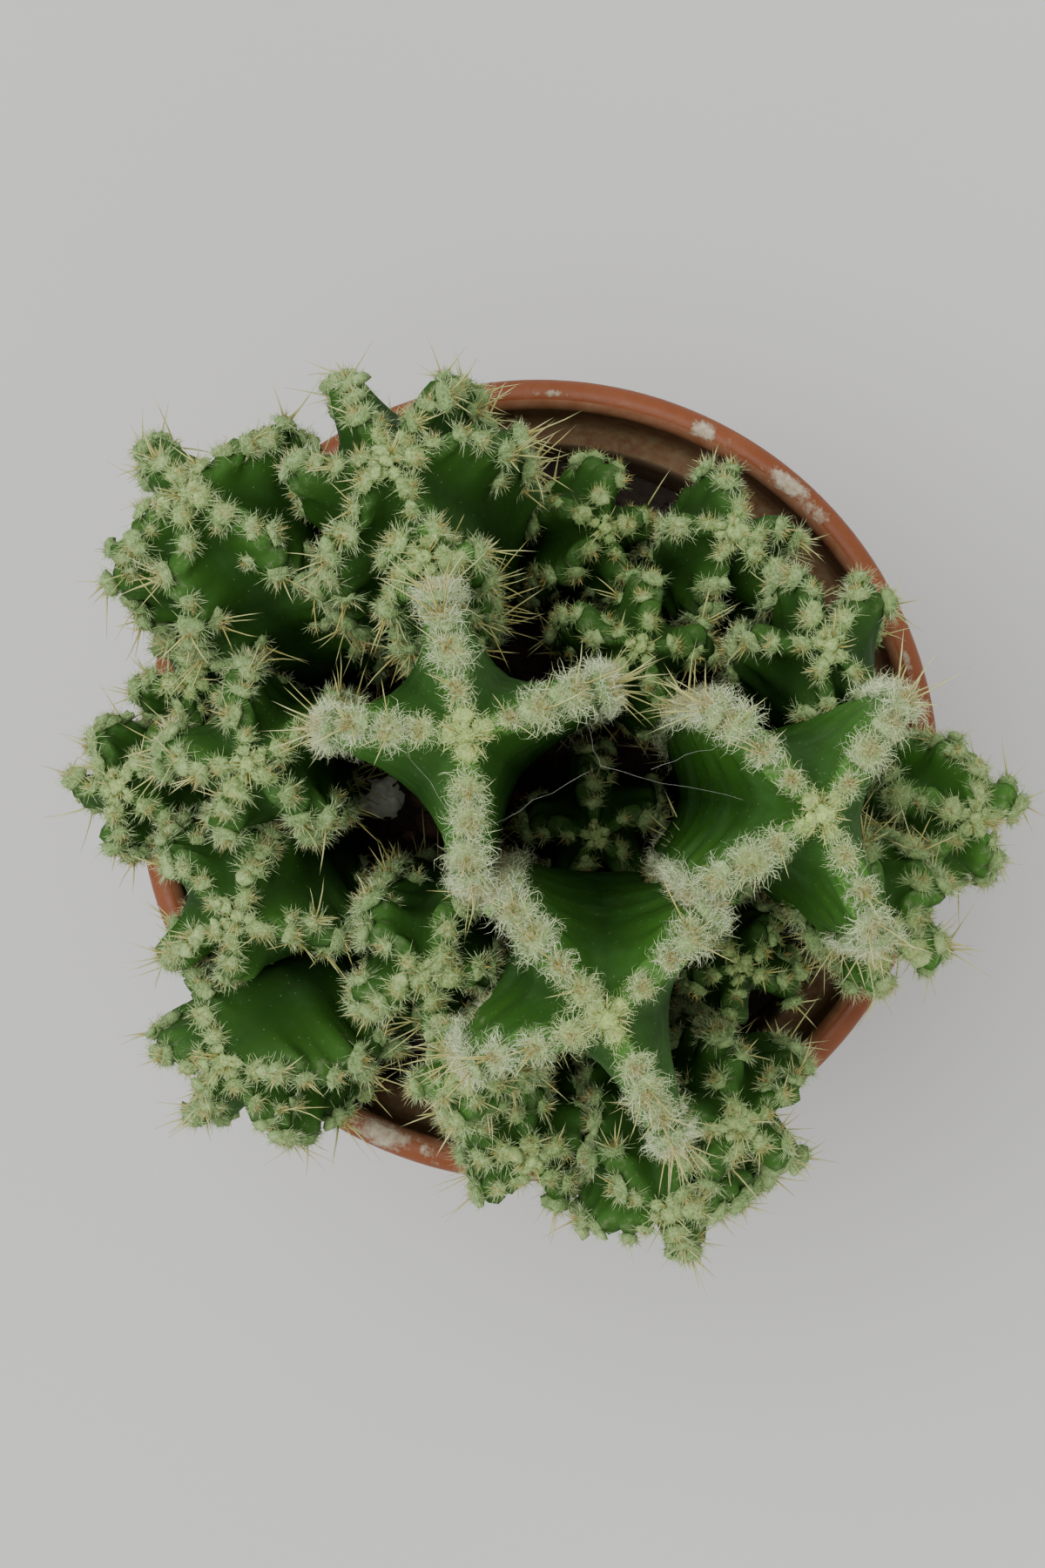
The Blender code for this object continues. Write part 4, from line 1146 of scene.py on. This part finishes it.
def pot_profile():
    """The pot's section, from the floor's centre up the inside and down the outside."""
    lip = RIM_WIDTH / 2
    under = POT_HEIGHT - COLLAR_HEIGHT
    top = under - STEP_FALL - STEP_FILLET
    profile = [(0, FLOOR), (inner_radius(FLOOR), FLOOR)]
    for share in np.linspace(0.1, 0.95, 12):
        profile.append((inner_radius(LEDGE * share), LEDGE * share))
    profile += [
        (inner_radius(LEDGE) - 0.1 * MM, LEDGE - 0.2 * MM),
        (inner_radius(LEDGE) + 0.2 * MM, LEDGE + 0.1 * MM),
        (COLLAR_FOOT_RADIUS - WALL - STEP_FILLET, LEDGE + STEP_FALL),
        (COLLAR_FOOT_RADIUS - WALL, LEDGE + STEP_FALL + STEP_FILLET),
        (RIM_RADIUS - RIM_WIDTH + 0.1 * MM, POT_HEIGHT - 2.0 * LIP_DEPTH),
        (RIM_RADIUS - RIM_WIDTH + LIP_INSET, POT_HEIGHT - LIP_DEPTH),
        *arc((RIM_RADIUS - lip, POT_HEIGHT - lip), lip, 190, -30, 15),
        (RIM_RADIUS - LIP_OVERHANG, POT_HEIGHT - LIP_DEPTH),
        (COLLAR_FOOT_RADIUS + 0.1 * MM, under + STEP_FILLET),
        (COLLAR_FOOT_RADIUS - 0.3 * MM, under),
        (BODY_TOP_RADIUS + 0.3 * MM, under - STEP_FALL),
    ]
    for share in np.linspace(1, 0, 14):
        radius = BASE_RADIUS + (BODY_TOP_RADIUS - BASE_RADIUS) * share
        profile.append((radius, FOOT_CHAMFER + (top - FOOT_CHAMFER) * share))
    return profile + [(BASE_RADIUS - 0.35 * MM, 0.3 * MM), (BASE_RADIUS - FOOT_CHAMFER, 0), (0, 0)]


def cylinder(name, radius, depth, place):
    """A closed cylinder, used as a cutter."""
    body = bmesh.new()
    bmesh.ops.create_cone(body, cap_ends=True, segments=DRAIN_SIDES, radius1=radius,
                          radius2=radius, depth=depth)
    mesh = bpy.data.meshes.new(name)
    body.to_mesh(mesh)
    body.free()
    item = bpy.data.objects.new(name, mesh)
    item.location = place
    return item


def applied(item):
    """Replace an object's mesh by its evaluated one."""
    depsgraph = bpy.context.evaluated_depsgraph_get()
    mesh = bpy.data.meshes.new_from_object(item.evaluated_get(depsgraph))
    item.modifiers.clear()
    item.data = mesh


def make_pot():
    """The turned pot with its drain holes."""
    mesh = bpy.data.meshes.new("pot_shell")
    profile = pot_profile()
    mesh.from_pydata([(r, 0, z) for r, z in profile], [(i, i + 1) for i in range(len(profile) - 1)], [])
    pot = added("pot_shell", mesh)
    screw = pot.modifiers.new("turn", "SCREW")
    screw.steps = POT_STEPS
    screw.render_steps = POT_STEPS
    screw.use_merge_vertices = True
    screw.merge_threshold = MERGE_GAP
    cutters = bpy.data.collections.new("drains")
    bpy.context.scene.collection.children.link(cutters)
    for i in range(DRAIN_HOLES):
        angle = TURN * i / DRAIN_HOLES
        place = (DRAIN_CIRCLE * math.cos(angle), DRAIN_CIRCLE * math.sin(angle), FLOOR / 2)
        cutters.objects.link(cylinder(f"drain_{i}", DRAIN_RADIUS, 3 * FLOOR, place))
    cut = pot.modifiers.new("drains", "BOOLEAN")
    cut.operand_type = "COLLECTION"
    cut.collection = cutters
    cut.solver = "EXACT"
    bpy.context.view_layer.update()
    applied(pot)
    for item in list(cutters.objects):
        bpy.data.objects.remove(item)
    bpy.data.collections.remove(cutters)
    pot.data.shade_smooth()
    pot.data.set_sharp_from_angle(angle=math.radians(SHARP_ANGLE))
    pot.data.materials.clear()
    pot.data.materials.append(pot_look())
    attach(pot, "root")
    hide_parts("pot")


def pot_look():
    """Terracotta-coloured plastic: satin, dusty, with mineral stains and a tide mark on the ledge."""
    look = Look("terracotta_plastic", 0.45, 0.22)
    clay = look.ramp(look.noise(9 * MM, 4), CLAY)
    dust = look.ramp(look.noise(2.4 * MM, 6, 0.72), ((0.46, 0.0), (0.80, 0.32)))
    colour = look.mix(dust, clay, DUST)
    scuffs = look.ramp(look.noise(0.7 * MM, 4, 0.75), ((0.60, 0.0), (0.72, 0.25)))
    colour = look.mix(scuffs, colour, SCUFFS)
    height, inside = pot_inside(look)
    wobble = look.maths("MULTIPLY", look.maths("SUBTRACT", look.noise(6 * MM, 4), 0.5), 5 * MM)
    mark = look.maths("SUBTRACT", look.maths("ADD", height, wobble), LEDGE + 0.8 * MM)
    mark = look.maths("LESS_THAN", look.maths("ABSOLUTE", mark, 0), 1.6 * MM)
    tide = look.maths("MULTIPLY", mark, inside)
    grit = look.ramp(look.noise(0.9 * MM, 5, 0.7), ((0.35, 0.1), (0.65, 0.85)))
    stain = look.ramp(look.noise(3 * MM, 5), GRIME)
    colour = look.mix(look.maths("MULTIPLY", inside, 0.7), colour, stain)
    colour = look.mix(look.maths("MULTIPLY", tide, grit), colour, TIDE_MARK)
    below = look.maths("MULTIPLY", look.maths("LESS_THAN", height, LEDGE), inside)
    colour = look.mix(look.maths("MULTIPLY", below, 0.55), colour, WALL_GRIME)
    worn = look.maths("SUBTRACT", look.noise(1.3 * MM, 6, 0.75), 0.5)
    ragged = look.maths("ADD", stain_cover(look), look.maths("MULTIPLY", worn, 1.6))
    white = look.ramp(ragged, ((0.36, 0.0), (0.66, 0.85)))
    look.colour(look.mix(white, colour, look.ramp(look.noise(0.6 * MM, 3), CHALK)))
    satin = look.ramp(look.noise(2.4 * MM, 5), ((0.35, 0.36), (0.7, 0.6)))
    look.link(look.mix(white, satin, (0.9, 0.9, 0.9)), look.shader.inputs["Roughness"])
    relief = look.maths("ADD", look.maths("MULTIPLY", look.noise(0.5 * MM, 4), 0.35), white)
    look.bump(relief, 0.07 * MM)
    return look.material


def pot_inside(look):
    """Height on the pot, and 1 on its inside and 0 outside."""
    position = look.node("ShaderNodeSeparateXYZ")
    look.link(look.place, position.inputs[0])
    height = position.outputs["Z"]
    flat = look.node("ShaderNodeCombineXYZ")
    look.link(position.outputs["X"], flat.inputs["X"])
    look.link(position.outputs["Y"], flat.inputs["Y"])
    across = look.node("ShaderNodeVectorMath", operation="LENGTH")
    look.link(flat.outputs[0], across.inputs[0])
    taper = look.maths("MULTIPLY", height, (BODY_TOP_RADIUS - BASE_RADIUS) / LEDGE)
    wall = look.maths("ADD", taper, BASE_RADIUS - WALL / 2)
    above = look.maths("GREATER_THAN", height, LEDGE - STEP_FALL)
    collar = look.maths("MULTIPLY", above, RIM_RADIUS - RIM_WIDTH + 0.9 * MM)
    limit = look.maths("MAXIMUM", wall, collar)
    return height, look.maths("LESS_THAN", across.outputs["Value"], limit)


def stain_cover(look):
    """How far a place is covered by mineral stains: 1 at a stain's middle, 0 at its edge."""
    cover = 0.0
    for angle, rise, length, width, strength in STAINS:
        angle = math.radians(angle)
        radius = RIM_RADIUS - RIM_WIDTH / 2
        centre = (radius * math.cos(angle), radius * math.sin(angle), POT_HEIGHT + rise * MM)
        shift = look.node("ShaderNodeMapping", vector_type="TEXTURE")
        shift.inputs["Location"].default_value = centre
        shift.inputs["Rotation"].default_value = (0, 0, angle)
        shift.inputs["Scale"].default_value = (width * MM, length * MM, width * MM)
        look.link(look.place, shift.inputs["Vector"])
        far = look.node("ShaderNodeVectorMath", operation="LENGTH")
        look.link(shift.outputs[0], far.inputs[0])
        spot = look.maths("MAXIMUM", look.maths("SUBTRACT", 1.0, far.outputs["Value"]), 0.0)
        cover = look.maths("MAXIMUM", cover, look.maths("MULTIPLY", spot, strength))
    return cover


def crumb_noise(x, y):
    """Uneven height of the soil's surface, between about -1 and 1."""
    value = np.sin(x / (2.9 * MM) + 1.3) * np.cos(y / (3.7 * MM)) + 0.6 * np.sin((x + y) / (5.3 * MM))
    value += 0.5 * np.sin(x / (1.1 * MM) + 2.1 * np.sin(y / (1.7 * MM))) * np.sin(y / (0.9 * MM))
    return value


def make_soil():
    """A crumbly sheet over the soil, with loose crumbs, bark and perlite bits on it."""
    rng = np.random.default_rng(SOIL_SEED)
    rings, corners = SOIL_GRID
    radii = np.linspace(0, inner_radius(SOIL_TOP) - 0.35 * MM, rings + 1)[1:]
    angles = spaced_angles(corners)
    x = radii[:, None] * np.cos(angles)
    y = radii[:, None] * np.sin(angles)
    top = SOIL_TOP + SOIL_LIFT
    low = SOIL_TOP - SOIL_SUNK
    z = SOIL_TOP + SOIL_ROUGH * crumb_noise(x, y) + rng.normal(0, 0.16 * MM, x.shape) + SOIL_LIFT
    sheet = np.stack((x, y, z), -1).reshape(-1, 3)
    under = np.stack((x[-1], y[-1], np.full(corners, low)), -1)
    points = np.vstack((sheet, ((0, 0, top),), under, ((0, 0, low),)))
    middle = rings * corners
    j = np.arange(corners)
    k = (j + 1) % corners
    edge = (rings - 1) * corners
    wall = np.stack((edge + j, middle + 1 + j, middle + 1 + k, edge + k), -1)
    base = fan(middle + 1 + corners, middle + 1, corners, flip=True)
    faces = [ring_quads(rings, corners), fan(middle, 0, corners), wall, base]
    uvs = points[:, :2] / (2.2 * RIM_RADIUS) + 0.5
    tones = rng.uniform(0, 1, points.shape)
    build = Build()
    build.add_plain(points, faces, uvs, tones)
    peat = frame["nodes"]["soil"]
    peat.data.materials.clear()
    peat.data.materials.append(soil_look("soil_body"))
    sheet = build.finish("soil_surface", soil_look("soil_crust"))
    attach(sheet, "root")
    for name, number, small, large, slot, material in (
        ("soil_crumbs", 1400, 0.25, 1.1, "potting_soil", soil_look("soil_crumb")),
        ("perlite_bits", 26, 0.4, 1.1, "perlite", perlite_look("perlite_bit")),
        ("bark_bits", 60, 0.6, 1.7, "bark", bark_look("bark_bit")),
    ):
        build = Build()
        add_crumbs(build, number, small * MM, large * MM, name == "bark_bits", rng)
        piece = build.finish(name, material)
        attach(piece, "root")


def icosphere(subdivisions):
    """Unit sphere points and triangles."""
    body = bmesh.new()
    bmesh.ops.create_icosphere(body, subdivisions=subdivisions, radius=1)
    points = np.array([vertex.co[:] for vertex in body.verts])
    faces = np.array([[vertex.index for vertex in face.verts] for face in body.faces])
    body.free()
    return points, faces


def add_crumbs(build, number, small, large, flat, rng):
    """Rough little lumps scattered over the soil."""
    ball, faces = icosphere(1)
    away = (inner_radius(SOIL_TOP) - 1.6 * MM) * np.sqrt(rng.uniform(0, 1, number))
    around = rng.uniform(0, TURN, number)
    size = small + (large - small) * rng.uniform(0, 1, number) ** 2.5
    x = away * np.cos(around)
    y = away * np.sin(around)
    z = SOIL_TOP + SOIL_LIFT + SOIL_ROUGH * crumb_noise(x, y) + 0.35 * size
    shape = rng.uniform(0.6, 1.3, (number, 1, 3))
    if flat:
        shape[..., 2] *= 0.4
        shape[..., 0] *= 1.8
    lumps = ball[None] * shape * (size[:, None] * rng.uniform(0.78, 1.15, (number, len(ball))))[..., None]
    turn = rng.uniform(0, TURN, (number, 1))
    turned = lumps.copy()
    turned[..., 0] = lumps[..., 0] * np.cos(turn) - lumps[..., 1] * np.sin(turn)
    turned[..., 1] = lumps[..., 0] * np.sin(turn) + lumps[..., 1] * np.cos(turn)
    points = turned + np.stack((x, y, z), -1)[:, None]
    tones = np.repeat(rng.uniform(0, 1, (number, 1, 3)), len(ball), axis=1)
    uvs = rng.uniform(0.05, 0.9, (number, 1, 2)) + 0.04 * ball[None, :, :2]
    add_copies(build, points, [faces], tones, uvs)


def soil_look(name):
    """Dark damp peat with paler fibres."""
    look = Look(name, 0.95)
    peat = look.ramp(look.noise(1.1 * MM, 6, 0.75), PEAT)
    look.colour(look.mix(look.maths("MULTIPLY", look.tones()[0], 0.35), peat, PEAT_FIBRES))
    look.bump(look.noise(0.35 * MM, 5, 0.75), 0.25 * MM)
    return look.material


def grained(name, roughness, noise, stops):
    """A look whose colour follows a noise of a size, detail and roughness."""
    look = Look(name, roughness)
    look.colour(look.ramp(look.noise(*noise), stops))
    return look


def perlite_look(name):
    """Chalky, slightly stained perlite."""
    look = grained(name, 0.92, (0.9 * MM, 5, 0.7), PERLITE)
    look.bump(look.cells(0.45 * MM), 0.08 * MM)
    return look.material


def bark_look(name):
    """Brown bark with darker streaks."""
    look = grained(name, 0.88, (1.0 * MM, 6, 0.75), BARK)
    look.bump(look.noise(0.4 * MM, 5, 0.7), 0.25 * MM)
    return look.material


def add_silk():
    """Spider's silk slung between the tall stems."""
    build = Build()
    rng = np.random.default_rng(SILK_SEED)
    for start, end, sag in SILK:
        share = np.linspace(0, 1, SILK_KNOTS)[:, None]
        path = above_rim(start) * (1 - share) + above_rim(end) * share
        path[:, 2] -= sag * MM * 4 * (share * (1 - share))[:, 0]
        path[1:-1] += rng.normal(0, 0.12 * MM, (SILK_KNOTS - 2, 3))
        add_needles(build, path[None], np.full((1, SILK_KNOTS - 1), SILK_RADIUS), np.zeros(1))
    silk = build.finish("silk_threads", grained("silk", 0.5, (1.5 * MM, 3), SILK_GREYS).material)
    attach(silk, "root")


def make_lump(node, material, rough):
    """A finely pitted lump in the place of a CAD lump."""
    low, high = [np.array(corner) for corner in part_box(node)]
    ball, faces = icosphere(4)
    dent = np.sin(5 * ball[:, 0] + 2) * np.cos(4 * ball[:, 1] - 3 * ball[:, 2])
    pits = np.sin(13 * ball[:, 0] + 4 * np.sin(9 * ball[:, 1])) * np.sin(11 * ball[:, 2] + 5 * ball[:, 1])
    swell = 0.96 + rough * dent + 0.5 * rough * pits
    points = (low + high) / 2 + ball * swell[:, None] * (high - low) / 2
    build = Build()
    build.add_plain(points, [faces], ball[:, :2] * 0.45 + 0.5, np.full(points.shape, 0.5))
    piece = build.finish(f"{node}_surface", material)
    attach(piece, "root")
    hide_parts(node)


def stage():
    """The plain pale floor, the soft light and the camera."""
    half = FLOOR_HALF
    mesh = bpy.data.meshes.new("floor")
    mesh.from_pydata(
        [(-half, -half, 0), (half, -half, 0), (half, half, 0), (-half, half, 0)], [], [(0, 1, 2, 3)])
    mesh.materials.append(grained("floor", 0.8, (0.2, 2), FLOOR_GREYS).material)
    floor = added("floor", mesh)
    lamp = bpy.data.lights.new("key", "SUN")
    lamp.energy = KEY_ENERGY
    lamp.angle = math.radians(KEY_SOFTNESS)
    item = added("key", lamp)
    item.rotation_euler = Vector(KEY_LINE).to_track_quat("-Z", "Y").to_euler()
    world = bpy.data.worlds.new("studio")
    world.use_nodes = True
    world.node_tree.nodes["Background"].inputs["Color"].default_value = SKY
    world.node_tree.nodes["Background"].inputs["Strength"].default_value = 1.0
    bpy.context.scene.world = world
    camera = bpy.data.cameras.new("camera")
    camera.sensor_fit = "VERTICAL"
    camera.angle = 2 * math.atan(IMAGE_HEIGHT / 2 / FOCAL_PIXELS)
    camera.clip_start = 0.01
    item = added("camera", camera)
    item.location = CAMERA_PLACE
    bpy.context.scene.camera = item


make_pot()
make_soil()
make_lump("perlite_lump", perlite_look("perlite"), 0.10)
make_lump("bark_lump", bark_look("bark"), 0.08)
make_stems()
add_silk()
stage()
